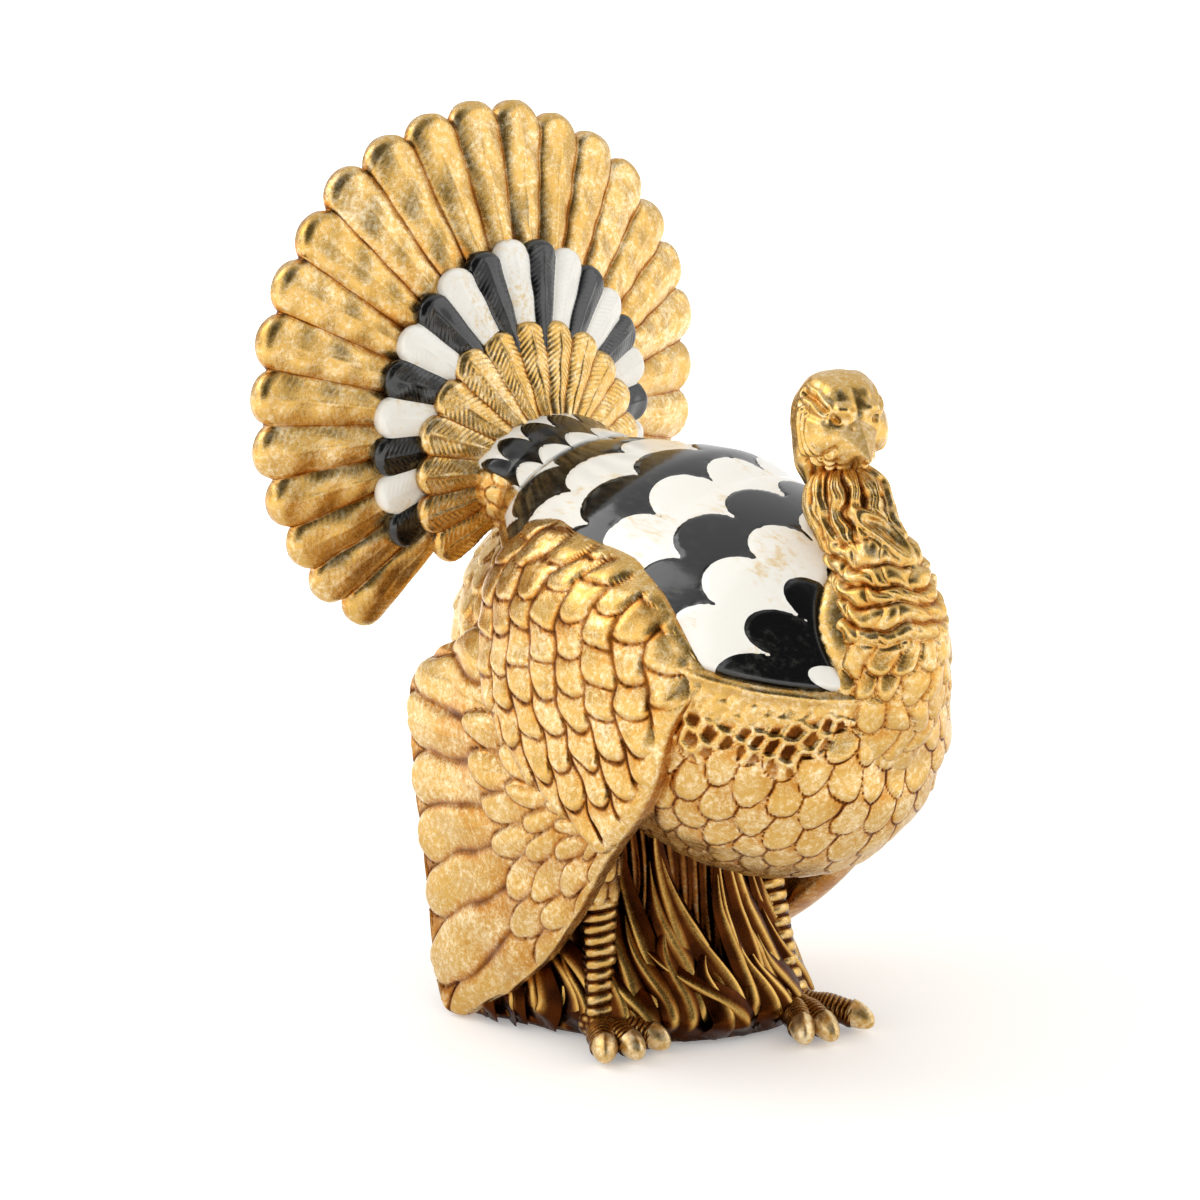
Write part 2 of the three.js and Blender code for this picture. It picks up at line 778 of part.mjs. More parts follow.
// Base: a mound of grass blades that lean round it. The outline runs round it from its rear
// left, as shares of the half width and of the front reach; its rise as shares of both.
const baseOutlineShares = [
  [1.14, 0.5],
  [0.82, 0.88],
  [0, 1],
  [-0.82, 0.88],
  [-1.14, 0.5],
  [-1.03, 0.16],
  [-0.84, -0.3],
  [-0.61, -0.66],
  [-0.22, -0.93],
  [0.18, -1.06],
  [0.52, -1.07],
  [0.88, -0.9],
  [1.12, -0.4],
  [1.1, 0.12],
];
const baseShares = [
  [0, 1],
  [0.1, 0.98],
  [0.3, 0.87],
  [0.55, 0.77],
  [0.8, 0.72],
  [1, 0.7],
];
const baseLoop = new THREE.CatmullRomCurve3(
  baseOutlineShares.map(([x, y]) => at(x * baseHalfWidth, y * baseFrontReach, 0)),
  true,
);
function baseOutline(share, z, twist, grow, count) {
  return Array.from({ length: count }, (_, k) => {
    const point = baseLoop.getPoint(k / count);
    point.multiplyScalar(share + grow / baseHalfWidth);
    point.applyAxisAngle(at(0, 0, 1), twist);
    return point.setZ(z);
  });
}
const mound = loft(
  evenly(6).map((t) => {
    const [rise, share] = rowAt(baseShares, t);
    const z = lerp(baseBottomZ, baseHeight, rise);
    return baseOutline(share, z, rise * baseTwist, 0, baseSides);
  }),
);

// A grass blade on the mound's side. Each row: share of the length, of the width and of the thickness.
const bladeShares = [
  [0, 0.85, 0.8],
  [0.5, 1, 1],
  [1, 0.08, 0.3],
];
const riseShares = baseShares.map(([rise]) => rise);
function baseSide(place, z) {
  const rise = (z - baseBottomZ) / (baseHeight - baseBottomZ);
  const share = tableAt(riseShares, baseShares, rise)[1];
  const point = baseLoop.getPoint(place - Math.floor(place)).multiplyScalar(share);
  return point.applyAxisAngle(at(0, 0, 1), rise * baseTwist).setZ(z);
}
function blade(place, lowZ, length, lean) {
  const centre = (along) => baseSide(place + lean * along * along, lowZ + along * length);
  return loft(
    bladeShares.map(([along, wide, thick]) => {
      const middle = centre(along);
      const out = at(middle.x, middle.y, 0).normalize();
      const up = centre(along + 0.01).sub(centre(along - 0.01)).normalize();
      const across = up.clone().cross(out).normalize();
      middle.addScaledVector(out, -bladeSink);
      return ellipse(middle, across, out, wide * bladeHalfWidth, thick * bladeThickness, 4);
    }),
  );
}
// Blades in two tiers. They lean to the right all round, some more than others.
const leanShares = [1, 0.35, 0.8, -0.3, 0.6];
const lengthShares = [1, 0.84, 0.93, 0.76];
const round = baseLoop.getLength();
const bladeCount = Math.round(round / bladeSpacing);
const blades = [0, 1].flatMap((tier) =>
  Array.from({ length: bladeCount }, (_, k) =>
    blade(
      (k + tier * 0.5) / bladeCount,
      baseBottomZ + tier * bladeTierRise,
      bladeLength * lengthShares[(k + tier) % lengthShares.length],
      (-bladeLean / round) * leanShares[(k * 2 + tier) % leanShares.length],
    ),
  ),
);
const baseForm = wasm.Manifold.union([mound, ...blades]);
const rightWingGrown = flightsForm(2 * jointGap);
const leftWingGrown = mirrored(flightsForm(2 * jointGap, leftWingForward));
const plugCentre = at(0, -plugForward, baseBottomZ);
const plugTop = plugCentre.clone().add(at(0, 0, plugDepth));
const plugHole = rod(
  plugCentre.clone().sub(at(0, 0, feltThickness * 2)),
  plugTop.clone().add(at(0, 0, jointGap)),
  plugRadius + jointGap,
  20,
);
const pourHolePlug = rod(plugCentre, plugTop, plugRadius, 20);
const baseCutters = [
  torsoGrown,
  undertailForm(jointGap),
  rightWingGrown,
  leftWingGrown,
  ...Object.values(sides).flatMap((side) => [legForm(side, jointGap), footForm(side, jointGap)]),
  plugHole,
];
let grassBase = largest(without(baseForm, ...baseCutters));
const feltOutline = baseOutline(1, 0, 0, -feltInset, baseSides);
const feltPad = (() => {
  const rings = [feltBottomZ, feltBottomZ + feltThickness].map((z) =>
    feltOutline.map((p) => p.clone().setZ(z)),
  );
  const footSpaces = Object.values(sides).map((side) => footForm(side, jointGap));
  return largest(without(loft(rings), plugHole, rightWingGrown, leftWingGrown, ...footSpaces));
})();

// Pins, rods and dowels. Each is let into both of the pieces that it holds together.
const pins = {};
function addPin(name, from, to, radius) {
  pins[name] = rod(from, to, radius);
  return rod(
    from.clone().lerp(to, -pinGap / from.distanceTo(to)),
    to.clone().lerp(from, -pinGap / from.distanceTo(to)),
    radius + pinGap,
  );
}
const [neckTopY] = neckRow(1);
const neckJoint = at(0, neckTopY, neckTopZ);
const neckAxis = headCentre.clone().sub(at(0, ...neckRow(0.85).slice(0, 2))).normalize();
const neckHole = addPin(
  "neck_pin",
  neckJoint.clone().addScaledVector(neckAxis, -neckPinLength * 0.65),
  neckJoint.clone().addScaledVector(neckAxis, neckPinLength * 0.35),
  neckPinRadius,
);
neck = neck.subtract(neckHole);
head = head.subtract(neckHole);

for (const [name, side] of [["right", -1], ["left", 1]]) {
  const middle = torsoEnd.clone().add(at((side * tailPinSpacing) / 2, 0, 0));
  const hole = addPin(
    `tail_pin_${name}`,
    middle.clone().addScaledVector(rootTangent, -tailPinLength / 2),
    middle.clone().addScaledVector(rootTangent, tailPinLength / 2),
    tailPinRadius,
  );
  breastShell = breastShell.subtract(hole);
  backShell = backShell.subtract(hole);
  tailRoot = tailRoot.subtract(hole);
}

let rightShieldBored = rightShield;
const wingPinShares = { front: 0.52, rear: 0.34 };
for (const [name, share] of Object.entries(wingPinShares)) {
  const [y, z, halfWidth] = torsoRow(share);
  const inner = at(-(halfWidth - torsoWall - wingPinInset), y, z);
  const hole = addPin(
    `right_wing_pin_${name}`,
    inner,
    inner.clone().add(at(-wingPinLength, 0, 0)),
    wingPinRadius,
  );
  pins[`left_wing_pin_${name}`] = mirrored(pins[`right_wing_pin_${name}`]);
  rightShieldBored = rightShieldBored.subtract(hole);
  breastShell = without(breastShell, hole, mirrored(hole));
  backShell = without(backShell, hole, mirrored(hole));
}

for (const [name, side] of Object.entries(sides)) {
  const [ankle, hip] = legAxis(side);
  const axis = hip.clone().sub(ankle).normalize();
  const hole = addPin(
    `${name}_leg_rod`,
    ankle.clone().addScaledVector(axis, -legRodBelow),
    hip.clone().addScaledVector(axis, legRodRise),
    legRodRadius,
  );
  legs[name] = legs[name].subtract(hole);
  feet[name] = feet[name].subtract(hole);
  grassBase = grassBase.subtract(hole);
  breastShell = breastShell.subtract(hole);
}

for (const [name, y] of [["front", dowelFrontY], ["rear", dowelRearY]]) {
  const hole = addPin(
    `body_dowel_${name}`,
    at(0, y, dowelTopZ - dowelLength),
    at(0, y, dowelTopZ),
    dowelRadius,
  );
  grassBase = grassBase.subtract(hole);
  breastShell = breastShell.subtract(hole);
}

// The figure
const figure = new THREE.Group();
function addPiece(name, piece, material) {
  const { vertProperties, triVerts } = piece.getMesh();
  const geometry = new THREE.BufferGeometry();
  geometry.setAttribute("position", new THREE.BufferAttribute(new Float32Array(vertProperties), 3));
  geometry.setIndex(new THREE.BufferAttribute(new Uint32Array(triVerts), 1));
  geometry.computeVertexNormals();
  const mesh = new THREE.Mesh(geometry, material);
  mesh.name = name;
  figure.add(mesh);
}
addPiece("breast_shell", breastShell, goldLeaf);
addPiece("back_shell", backShell, ivoryEnamel);
addPiece("tail_root", tailRoot, goldLeaf);
addPiece("tail_outer_row", tailOuterRow, goldLeaf);
addPiece("tail_middle_row", tailMiddleRow, blackEnamel);
addPiece("tail_inner_row", tailInnerRow, goldLeaf);
addPiece("undertail_coverts", undertailCoverts, goldLeaf);
addPiece("right_wing_shield", rightShieldBored, goldLeaf);
addPiece("left_wing_shield", mirrored(rightShieldBored), goldLeaf);
addPiece("right_wing_flights", rightFlights, goldLeaf);
addPiece("left_wing_flights", leftFlights, goldLeaf);
addPiece("neck", neck, goldLeaf);
addPiece("head", head, goldLeaf);
for (const name of Object.keys(sides)) {
  addPiece(`${name}_leg`, legs[name], umberGold);
  addPiece(`${name}_foot`, feet[name], umberGold);
}
addPiece("grass_base", grassBase, umberGold);
addPiece("felt_pad", feltPad, darkFelt);
addPiece("pour_hole_plug", pourHolePlug, rubber);
for (const [name, pin] of Object.entries(pins)) {
  addPiece(name, pin, name.startsWith("body_dowel") ? beech : steel);
}

export default figure;
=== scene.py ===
"""A standing turkey figure, cast in resin, then gilded, glazed with umber and enamelled.

It dresses the frame's solids: each new piece stands for the solid of the same name, in metres, +Z up.
The bird faces -Y, and its right side is at -X.
"""
import math

import bpy
import numpy as np
from bpy.props import FloatProperty, FloatVectorProperty, IntProperty, PointerProperty
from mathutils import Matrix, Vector


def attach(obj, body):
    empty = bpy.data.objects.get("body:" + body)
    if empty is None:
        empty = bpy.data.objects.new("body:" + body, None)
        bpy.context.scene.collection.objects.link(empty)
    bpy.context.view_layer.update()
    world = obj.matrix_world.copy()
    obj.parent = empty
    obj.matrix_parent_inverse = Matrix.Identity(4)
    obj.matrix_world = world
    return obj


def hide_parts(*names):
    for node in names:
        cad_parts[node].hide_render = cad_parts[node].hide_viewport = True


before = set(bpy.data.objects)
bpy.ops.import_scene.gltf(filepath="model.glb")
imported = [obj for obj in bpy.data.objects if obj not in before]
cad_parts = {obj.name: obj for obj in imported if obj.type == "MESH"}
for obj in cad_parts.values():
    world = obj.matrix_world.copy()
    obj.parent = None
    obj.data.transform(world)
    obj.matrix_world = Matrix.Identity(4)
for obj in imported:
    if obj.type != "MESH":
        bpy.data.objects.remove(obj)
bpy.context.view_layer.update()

bl_info = {
    "name": "Turkey figure",
    "version": (1, 0, 0),
    "blender": (4, 5, 0),
    "location": "View3D > Sidebar > Turkey",
    "description": "Dresses a cast turkey figure: feathers, gold leaf, umber glaze and enamel",
    "category": "Object",
}

MM = 0.001
DEGREE = math.pi / 180

# Torso, as in the frame's solids
TORSO_LENGTH = 206 * MM
TORSO_REAR_Y = 34 * MM
TORSO_BREAST_Z = 154.5 * MM
TORSO_RISE = 85.5 * MM
TORSO_HALF_WIDTH = 81 * MM
TORSO_HALF_HEIGHT = 85 * MM
SADDLE_FRONT_Z = 188 * MM
SADDLE_SLOPE = 0.2
COLLAR = np.array([0, -160, 212]) * MM
COLLAR_RADIUS = 32 * MM
COLLAR_FILLET = 14 * MM
COLLAR_RISE = 6 * MM
RIM_WIDTH = 5.5 * MM
RIM_HEIGHT = 1.3 * MM
ENAMEL_DEPTH = 2.6 * MM
BACK_RINGS = 190
NEAR = 0.01

# Tail
ROOT_LENGTH = 34 * MM
ROOT_END_RISE = 9 * MM
FAN_APEX = np.array([0, 48, 265]) * MM
FAN_SLANT = 20.5 * DEGREE
FAN_RIGHT_TURN = 1.2 * DEGREE
FAN_BACK = 8 * MM
SHORT_ROW_BACK = FAN_BACK - 3.6 * MM
FAN_ROOT_LENGTH = 22 * MM
INNER_APEX = FAN_APEX - np.array([0, 1.2, 19]) * MM
UNDERTAIL_HALF = np.array([47, 48, 62]) * MM
UNDERTAIL_SHIFT = np.array([0, 13, -68]) * MM

# Wings
WING_TOP_Z = 243 * MM
WING_GROUND_GAP = 0.8 * MM
WING_FRONT_Y = -122 * MM
WING_REAR_Y = 67 * MM
WING_HALF_SPAN = 88 * MM
SHIELD_THICKNESS = 21 * MM
SHIELD_STEP = 4 * MM
FLIGHTS_THICKNESS = 18 * MM
LEFT_WING_FORWARD = 26 * MM
LEFT_WING_Z = np.array([72, 124]) * MM
FLIGHTS_TOP_Z = 194 * MM
WING_LOBE_DEPTH = 3 * MM

# Neck and head
NECK_FRONT_Y = -161 * MM
NECK_RADIUS = 33 * MM
NECK_BOTTOM_Z = 172 * MM
NECK_TOP_Z = 281 * MM
HEAD_HALF = np.array([19, 22, 20.5]) * MM
HEAD_CENTRE = np.array([0, -129.5, 298]) * MM
HEAD_TURN = 22 * DEGREE
NECK_ROLL_PITCH = 7.8 * MM
BEAK_LENGTH = 21 * MM
BEAK_HALF_WIDTH = 13 * MM
BEAK_DROP = 12 * MM
BEAK_RIDGE = 6.5 * MM

# Legs, feet and base
HIP_Z = 92 * MM
ANKLE_Z = 14 * MM
LEG_RADIUS = 6.5 * MM
LEG_SWELL = 0.8
TOE_RADIUS = 6 * MM
TOE_REACH = 38.5 * MM
TOE_GROUND_GAP = 0.7 * MM
BASE_HALF_WIDTH = 57 * MM
BASE_FRONT_REACH = 70 * MM
BASE_BOTTOM_Z = 2.1 * MM
BASE_HEIGHT = 106 * MM
BASE_TWIST = 6 * DEGREE

# Camera, at the photograph's angle
IMAGE_SIDE = 1200
CAMERA_AZIMUTH = -43 * DEGREE
CAMERA_ELEVATION = 15 * DEGREE
CAMERA_DISTANCE = 1.7
CAMERA_FOCAL_PIXELS = 3910
CAMERA_TARGET = Vector((-0.0532, -0.040, 0.2101))
SENSOR_WIDTH = 36

# Tables of shares. Torso: along, rise, half width, half height.
TORSO_SHARES = [
    [0, 0.93, 0.5, 0.4],
    [0.092, 0.8, 0.7, 0.6],
    [0.238, 0.585, 0.914, 0.88],
    [0.383, 0.38, 0.988, 0.965],
    [0.544, 0.24, 1, 1],
    [0.689, 0.165, 0.955, 0.965],
    [0.82, 0.12, 0.81, 0.835],
    [0.917, 0.1, 0.6, 0.62],
    [0.98, 0.095, 0.33, 0.34],
    [1, 0.09, 0.02, 0.02],
]
# Tail root: along, half width, half height.
ROOT_SHARES = [
    [0, 0.5, 0.4],
    [0.3, 0.47, 0.34],
    [0.6, 0.5, 0.32],
    [1, 0.46, 0.28],
]
# Wing: height, front reach, rear reach, half span at front and at rear, bulge.
WING_SHARES = np.array([
    [0, -0.25, 0.6, 0.75, 0.85, 0.01],
    [0.031, -0.18, 0.68, 0.773, 0.85, 0.02],
    [0.08, -0.03, 0.74, 0.795, 0.852, 0.03],
    [0.176, 0.2, 0.78, 0.852, 0.852, 0.034],
    [0.267, 0.37, 0.82, 0.898, 0.852, 0.034],
    [0.35, 0.5, 0.86, 0.932, 0.852, 0.034],
    [0.411, 0.59, 0.91, 0.955, 0.852, 0.045],
    [0.48, 0.713, 0.96, 1, 0.84, 0.045],
    [0.535, 0.803, 0.985, 1, 0.83, 0.057],
    [0.604, 0.869, 1.02, 0.977, 0.818, 0.08],
    [0.65, 0.893, 0.99, 0.966, 0.795, 0.09],
    [0.7, 0.91, 0.8, 0.932, 0.773, 0.125],
    [0.749, 0.951, 0.5, 0.886, 0.795, 0.136],
    [0.802, 1, 0.299, 0.795, 0.795, 0.17],
    [0.864, 0.91, 0.284, 0.818, 0.773, 0.136],
    [0.926, 0.762, 0.179, 0.773, 0.727, 0.114],
    [0.971, 0.574, 0.03, 0.705, 0.682, 0.068],
    [1, 0.287, -0.075, 0.648, 0.648, 0.02],
])
# Wing shield's rear edge: height, rear reach.
SHIELD_SHARES = np.array([
    [0.46, -1.27],
    [0.5, -0.9],
    [0.54, -0.5],
    [0.59, -0.22],
    [0.645, -0.03],
    [0.7, 0.12],
    [0.75, 0.21],
    [0.8, 0.3],
    [1, 0.3],
])
# Neck: forward, height, radius.
NECK_SHARES = [
    [0.86, 0, 1.02],
    [0.92, 0.11, 0.96],
    [0.965, 0.25, 0.86],
    [0.985, 0.43, 0.75],
    [0.95, 0.585, 0.61],
    [0.887, 0.72, 0.53],
    [0.833, 0.87, 0.54],
    [0.81, 1, 0.5],
]
# Base outline: shares of the half width and the front reach. Base: rise, share of the outline.
BASE_OUTLINE_SHARES = np.array([
    [1.14, 0.5], [0.82, 0.88], [0, 1], [-0.82, 0.88], [-1.14, 0.5], [-1.03, 0.16], [-0.84, -0.3],
    [-0.61, -0.66], [-0.22, -0.93], [0.18, -1.06], [0.52, -1.07], [0.88, -0.9], [1.12, -0.4], [1.1, 0.12],
])
BASE_SHARES = [
    [0, 1],
    [0.1, 0.98],
    [0.3, 0.87],
    [0.55, 0.77],
    [0.8, 0.72],
    [1, 0.7],
]
# Legs: ankle and hip as shares of the base, the toes' turns in degrees, and the toes' reach.
SIDES = {
    "right": {
        "ankle_shares": (-0.77, 0.43),
        "hip_shares": (-0.86, 0.47),
        "toe_turns": (39, 13, -16),
        "reach_share": 0.94,
    },
    "left": {
        "ankle_shares": (0.69, 0.98),
        "hip_shares": (0.68, 0.6),
        "toe_turns": (36, 17, -18),
        "reach_share": 1.1,
    },
}


# Number helpers. Points are arrays whose last axis holds x, y and z.
def unit(v):
    """Vectors divided by their lengths."""
    return v / np.maximum(np.linalg.norm(v, axis=-1, keepdims=True), 1e-12)


def vec(x, y, z):
    """Points from their three parts, which are spread to one shape."""
    return np.stack(np.broadcast_arrays(x, y, z), -1).astype(float)


def lerp(a, b, t):
    """The value a share t of the way from a to b."""
    return a + (b - a) * t


def smooth(x, low, high):
    """0 below low and 1 above high, with a smooth step between them."""
    t = np.clip((x - low) / (high - low), 0, 1)
    return t * t * (3 - 2 * t)


def bump(x, width):
    """A bell curve of height 1 about zero."""
    return np.exp(-((x / width) ** 2))


def arch_of(across, share=0.94, power=2):
    """The height of an arch at a place across it, -1 to 1, whose feet are cut off a little. A power over 2
    makes it flatter on top."""
    return np.sqrt(1 - np.abs(share * np.clip(across, -1, 1)) ** power)


def curve_through(a, b, d, e, u):
    """Catmull-Rom's curve from b to d, with a before them and e after them, u from 0 to 1."""
    return b + 0.5 * u * (d - a + u * (2 * a - 5 * b + 4 * d - e + u * (3 * (b - d) + e - a)))


def row_at(table, t):
    """A smooth value on a table of rows: a Catmull-Rom curve through them, t from 0 to 1."""
    table = np.asarray(table, float)
    last = len(table) - 1
    place = np.clip(t, 0, 1) * last
    row = np.minimum(np.asarray(place).astype(int), last - 1)
    rows = (table[np.clip(row + k, 0, last)] for k in (-1, 0, 1, 2))
    return curve_through(*rows, np.asarray(place - row)[..., None])


def table_at(table, key):
    """row_at for a table whose first column holds the keys."""
    keys = table[:, 0]
    return row_at(table, np.interp(key, keys, np.linspace(0, 1, len(keys))))


def unevenness(points, size, seed, waves=7):
    """Smooth hand-made unevenness, -1 to 1: a sum of sine waves of about one size, in seeded directions."""
    draw = np.random.default_rng(seed)
    ways = unit(draw.normal(size=(waves, 3))) / size * draw.uniform(0.7, 1.5, (waves, 1))
    phases = draw.uniform(0, 2 * np.pi, waves)
    return np.sin(points @ ways.T * 2 * np.pi + phases).sum(-1) / waves ** 0.5 / 1.5


def wobbled(points, size, seed, amount):
    """Points moved each way by a smooth unevenness, so that rows laid on them look drawn by hand."""
    return points + np.stack([unevenness(points, size, seed + k) for k in range(3)], -1) * amount


def own_number(a, b):
    """A number from 0 to 1 of its own for each pair of whole numbers."""
    return (np.sin(a * 12.9898 + b * 78.233) * 43758.5453) % 1


def normals_of(grid, wrap=True):
    """Outward unit normals of a grid of points: the cross product of its two directions."""
    down = np.gradient(grid, axis=0)
    across = np.roll(grid, -1, 1) - np.roll(grid, 1, 1) if wrap else np.gradient(grid, axis=1)
    normal = unit(np.cross(down, across))
    outwards = (normal * (grid - grid.mean(1, keepdims=True))).sum(-1)
    return normal * np.sign(np.median(outwards))


def spread(points, count):
    """count places, 0 to 1, that lie at even lengths along a line of points."""
    length = np.concatenate([[0], np.linalg.norm(np.diff(points, axis=0), axis=1).cumsum()])
    return np.interp(np.linspace(0, length[-1], count), length, np.linspace(0, 1, len(points)))


def full_turn(count):
    """Turns at even steps once round, as the columns of a grid."""
    return np.linspace(0, 2 * np.pi, count, endpoint=False)[None]


def round_ends(grid, radius, ends=(True, True)):
    """Draws the rings near a loft's ends in to a quarter circle, about each ring's middle."""
    middle = grid.mean(1, keepdims=True)
    step = np.linalg.norm(np.diff(middle[:, 0], axis=0), axis=1)
    along = np.concatenate([[0], step.cumsum()])
    near = np.minimum(along if ends[0] else radius, along[-1] - along if ends[1] else radius)
    share = np.sqrt(1 - (1 - np.clip(near / radius, 0, 1)) ** 2)
    return middle + (grid - middle) * np.maximum(share, 0.02)[:, None, None]


def closed_mesh(name, grids, **values):
    """One mesh of closed surfaces. Each grid is rings of points: rings join to the next ring, each ring joins
    up with itself, and a point in the middle closes the first and the last ring. Its faces are turned
    outwards, and values are kept on its points."""
    if grids.ndim == 3:
        grids = grids[None]
        values = {key: value[None] for key, value in values.items()}
    count, rings, around = grids.shape[:3]
    index = np.arange(count * rings * around).reshape(count, rings, around)
    poles = index.size + np.arange(2 * count).reshape(2, count, 1)
    following = np.roll(index, -1, 2)
    quads = np.stack([index[:, :-1], index[:, 1:], following[:, 1:], following[:, :-1]], -1).reshape(-1, 4)
    caps = [
        np.stack([np.broadcast_to(pole, (count, around)), *ring], -1).reshape(-1, 3)
        for pole, ring in (
            (poles[0], (index[:, 0], following[:, 0])),
            (poles[1], (following[:, -1], index[:, -1])),
        )
    ]
    triangles = np.concatenate(caps)
    points = np.concatenate([grids.reshape(-1, 3), grids[:, 0].mean(1), grids[:, -1].mean(1)])
    corner = points[quads]
    volume = (np.cross(corner[:, 0], corner[:, 1]) * corner[:, 2]).sum()
    volume += (np.cross(corner[:, 0], corner[:, 2]) * corner[:, 3]).sum()
    if volume < 0:
        quads = quads[:, ::-1]
        triangles = triangles[:, ::-1]
    loops = np.concatenate([quads.ravel(), triangles.ravel()])
    totals = np.repeat([4, 3], [len(quads), len(triangles)])
    mesh = bpy.data.meshes.new(name)
    mesh.vertices.add(len(points))
    mesh.vertices.foreach_set("co", points.astype(np.float32).ravel())
    mesh.loops.add(len(loops))
    mesh.loops.foreach_set("vertex_index", loops.astype(np.int32))
    mesh.polygons.add(len(totals))
    mesh.polygons.foreach_set("loop_start", np.concatenate([[0], totals.cumsum()[:-1]]).astype(np.int32))
    mesh.polygons.foreach_set("loop_total", totals.astype(np.int32))
    mesh.update(calc_edges=True)
    mesh.shade_smooth()
    for key, value in values.items():
        ends = [value[:, 0].mean(1), value[:, -1].mean(1)]
        whole = np.concatenate([value.reshape(-1), *ends]).astype(np.float32)
        mesh.attributes.new(key, "FLOAT", "POINT").data.foreach_set("value", whole)
    piece = bpy.data.objects.new(name, mesh)
    bpy.context.collection.objects.link(piece)
    return piece


def dress(piece, material, slot, *nodes):
    """Gives a piece its finish, and lets it stand for the frame's nodes."""
    piece.data.materials.append(material)
    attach(piece, "root")
    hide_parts(*nodes)


# Feathers
def feathers(u, v, roundness, stagger=0.5):
    """Overlapping feathers with round tips, as tiles on a roof. u counts rows towards the tips and v counts
    columns. Each row is moved sideways by stagger against the next. A point lies on the first row whose round
    tips reach it. Gives the length to that feather's tip in rows, the length past the tips that lie over it,
    the place across it, -1 to 1, its row and its column."""
    def place(row):
        shifted = v + stagger * (row % 2)
        column = np.floor(shifted)
        across = 2 * (shifted - column) - 1
        return across, row + 1 - roundness * (1 - np.sqrt(np.maximum(0, 1 - across**2))), column

    row = np.ceil(u) - 1
    row = row + (u > place(row)[1])
    across, reach, column = place(row)
    return reach - u, u - place(row - 1)[1], across, row, column


def feather_relief(tip, across, edge=0.16, lap=1.5, pillow=0.75, power=2.6):
    """The height of such a feather, 0 to 1: it rises from its root to its tip, ends in a round edge, and
    is arched across."""
    rise = 0.3 + 0.7 * (1 - np.clip(tip / lap, 0, 1))
    rim = np.sqrt(1 - (1 - np.clip(tip / edge, 0, 1)) ** 2)
    return rise * rim * lerp(1, arch_of(across, 0.98, power), pillow)


def seamed(relief, tip, cover, across, length, width, seam=1.1 * MM, least=0.12):
    """A feather's relief for its finish: it falls to a least share along the seams round the feather, where
    the glaze gathers. length and width are a feather's real size, and seam is half a seam's width."""
    far = np.minimum(np.minimum(tip, cover) * length, (1 - np.abs(across)) * width / 2)
    return relief * lerp(least, 1, smooth(far, 0.15 * MM, seam))


def around_axis(points, centre, axis, columns):
    """Rows and columns of feathers that spread from an axis over a round body. It is Mercator's map about
    the axis: the logarithm of the tangent of half the angle from it, so feathers grow but keep their shape."""
    away = unit(points - centre)
    axis = unit(np.asarray(axis, float))
    side = unit(np.cross(axis, [1.0, 0, 0]))
    polar = np.arccos(np.clip(away @ axis, -0.9999, 0.9999))
    turn = np.arctan2(away[..., 0], away @ side)
    u = np.log(np.tan(polar / 2)) * columns / (2 * np.pi)
    width = np.linalg.norm(points - centre, axis=-1) * np.sin(polar) * 2 * np.pi / columns
    return u, turn * columns / (2 * np.pi), width


# Torso
def torso_row(t):
    """Place, half width and half height of the torso's section, t from 0 at the tail to 1 at the breast."""
    along, rise, width, height = np.moveaxis(row_at(TORSO_SHARES, t), -1, 0)
    y = TORSO_REAR_Y - along * TORSO_LENGTH
    return y, TORSO_BREAST_Z + rise * TORSO_RISE, width * TORSO_HALF_WIDTH, height * TORSO_HALF_HEIGHT


def neck_row(t):
    """Place, half width and half height of the neck's section, t from 0 at the breast to 1 in the head."""
    forward, height, share = np.moveaxis(row_at(NECK_SHARES, t), -1, 0)
    radius = share * NECK_RADIUS
    return NECK_FRONT_Y * forward, lerp(NECK_BOTTOM_Z, NECK_TOP_Z, height), radius, radius


def spine_surface(row, t, turn):
    """Ellipses about a path in the plane of symmetry, square to it. Turn 0 is towards +X, and a quarter turn
    is up."""
    y, z, half_width, half_height = row(t)
    y1, z1 = row(t + NEAR)[:2]
    y0, z0 = row(t - NEAR)[:2]
    rise = unit(vec(0, z1 - z0, y0 - y1))
    level = vec(half_width * np.cos(turn), y, z)
    return level + rise * (half_height * np.sin(turn))[..., None]


def even_places(row, steps, rings):
    """Shares at which rings lie at even lengths along the underside of a spine surface."""
    under = spine_surface(row, np.linspace(0, 1, steps), np.full(steps, 1.5 * np.pi))
    return spread(under, rings)[:, None]


TORSO_END = np.array([0, *(float(x) for x in torso_row(np.array(0.0))[:2])])


def root_tangent():
    """The way out of the torso's rear end."""
    y1, z1 = torso_row(np.array(NEAR))[:2]
    return unit(TORSO_END - np.array([0, float(y1), float(z1)]))


def saddle_edge(points):
    """How far a point lies on the breast's side of the joint between breast and back: below a sloping plane,
    or inside the ball of the collar."""
    plane = SADDLE_FRONT_Z + SADDLE_SLOPE * (points[..., 1] - TORSO_REAR_Y + TORSO_LENGTH) - points[..., 2]
    collar = COLLAR_RADIUS - np.linalg.norm(points - COLLAR, axis=-1)
    return np.maximum(plane, collar)


def torso_grid(rings, turn, wrap):
    """Rings of points at even lengths along the torso, at the given turns, and their normals."""
    t = even_places(torso_row, 400, rings)
    grid = spine_surface(torso_row, *np.broadcast_arrays(t, turn[None]))
    return grid, normals_of(grid, wrap)


# The breast's feathers spread from this axis. The net reaches down to a row that depends on the heading
# round the axis, from above to below.
CROP_CENTRE = np.array([0, -85, 158]) * MM
CROP_AXIS = (0, -0.6, 0.8)
NET_EDGE = ([1.4, 2.2, 2.75, np.pi], [-0.4, -1.9, -4.2, -7])
FLUTES_END = 6 * MM
FLUTES_END_AT_SIDE = 15 * MM
FLUTES_FADE = 6 * MM


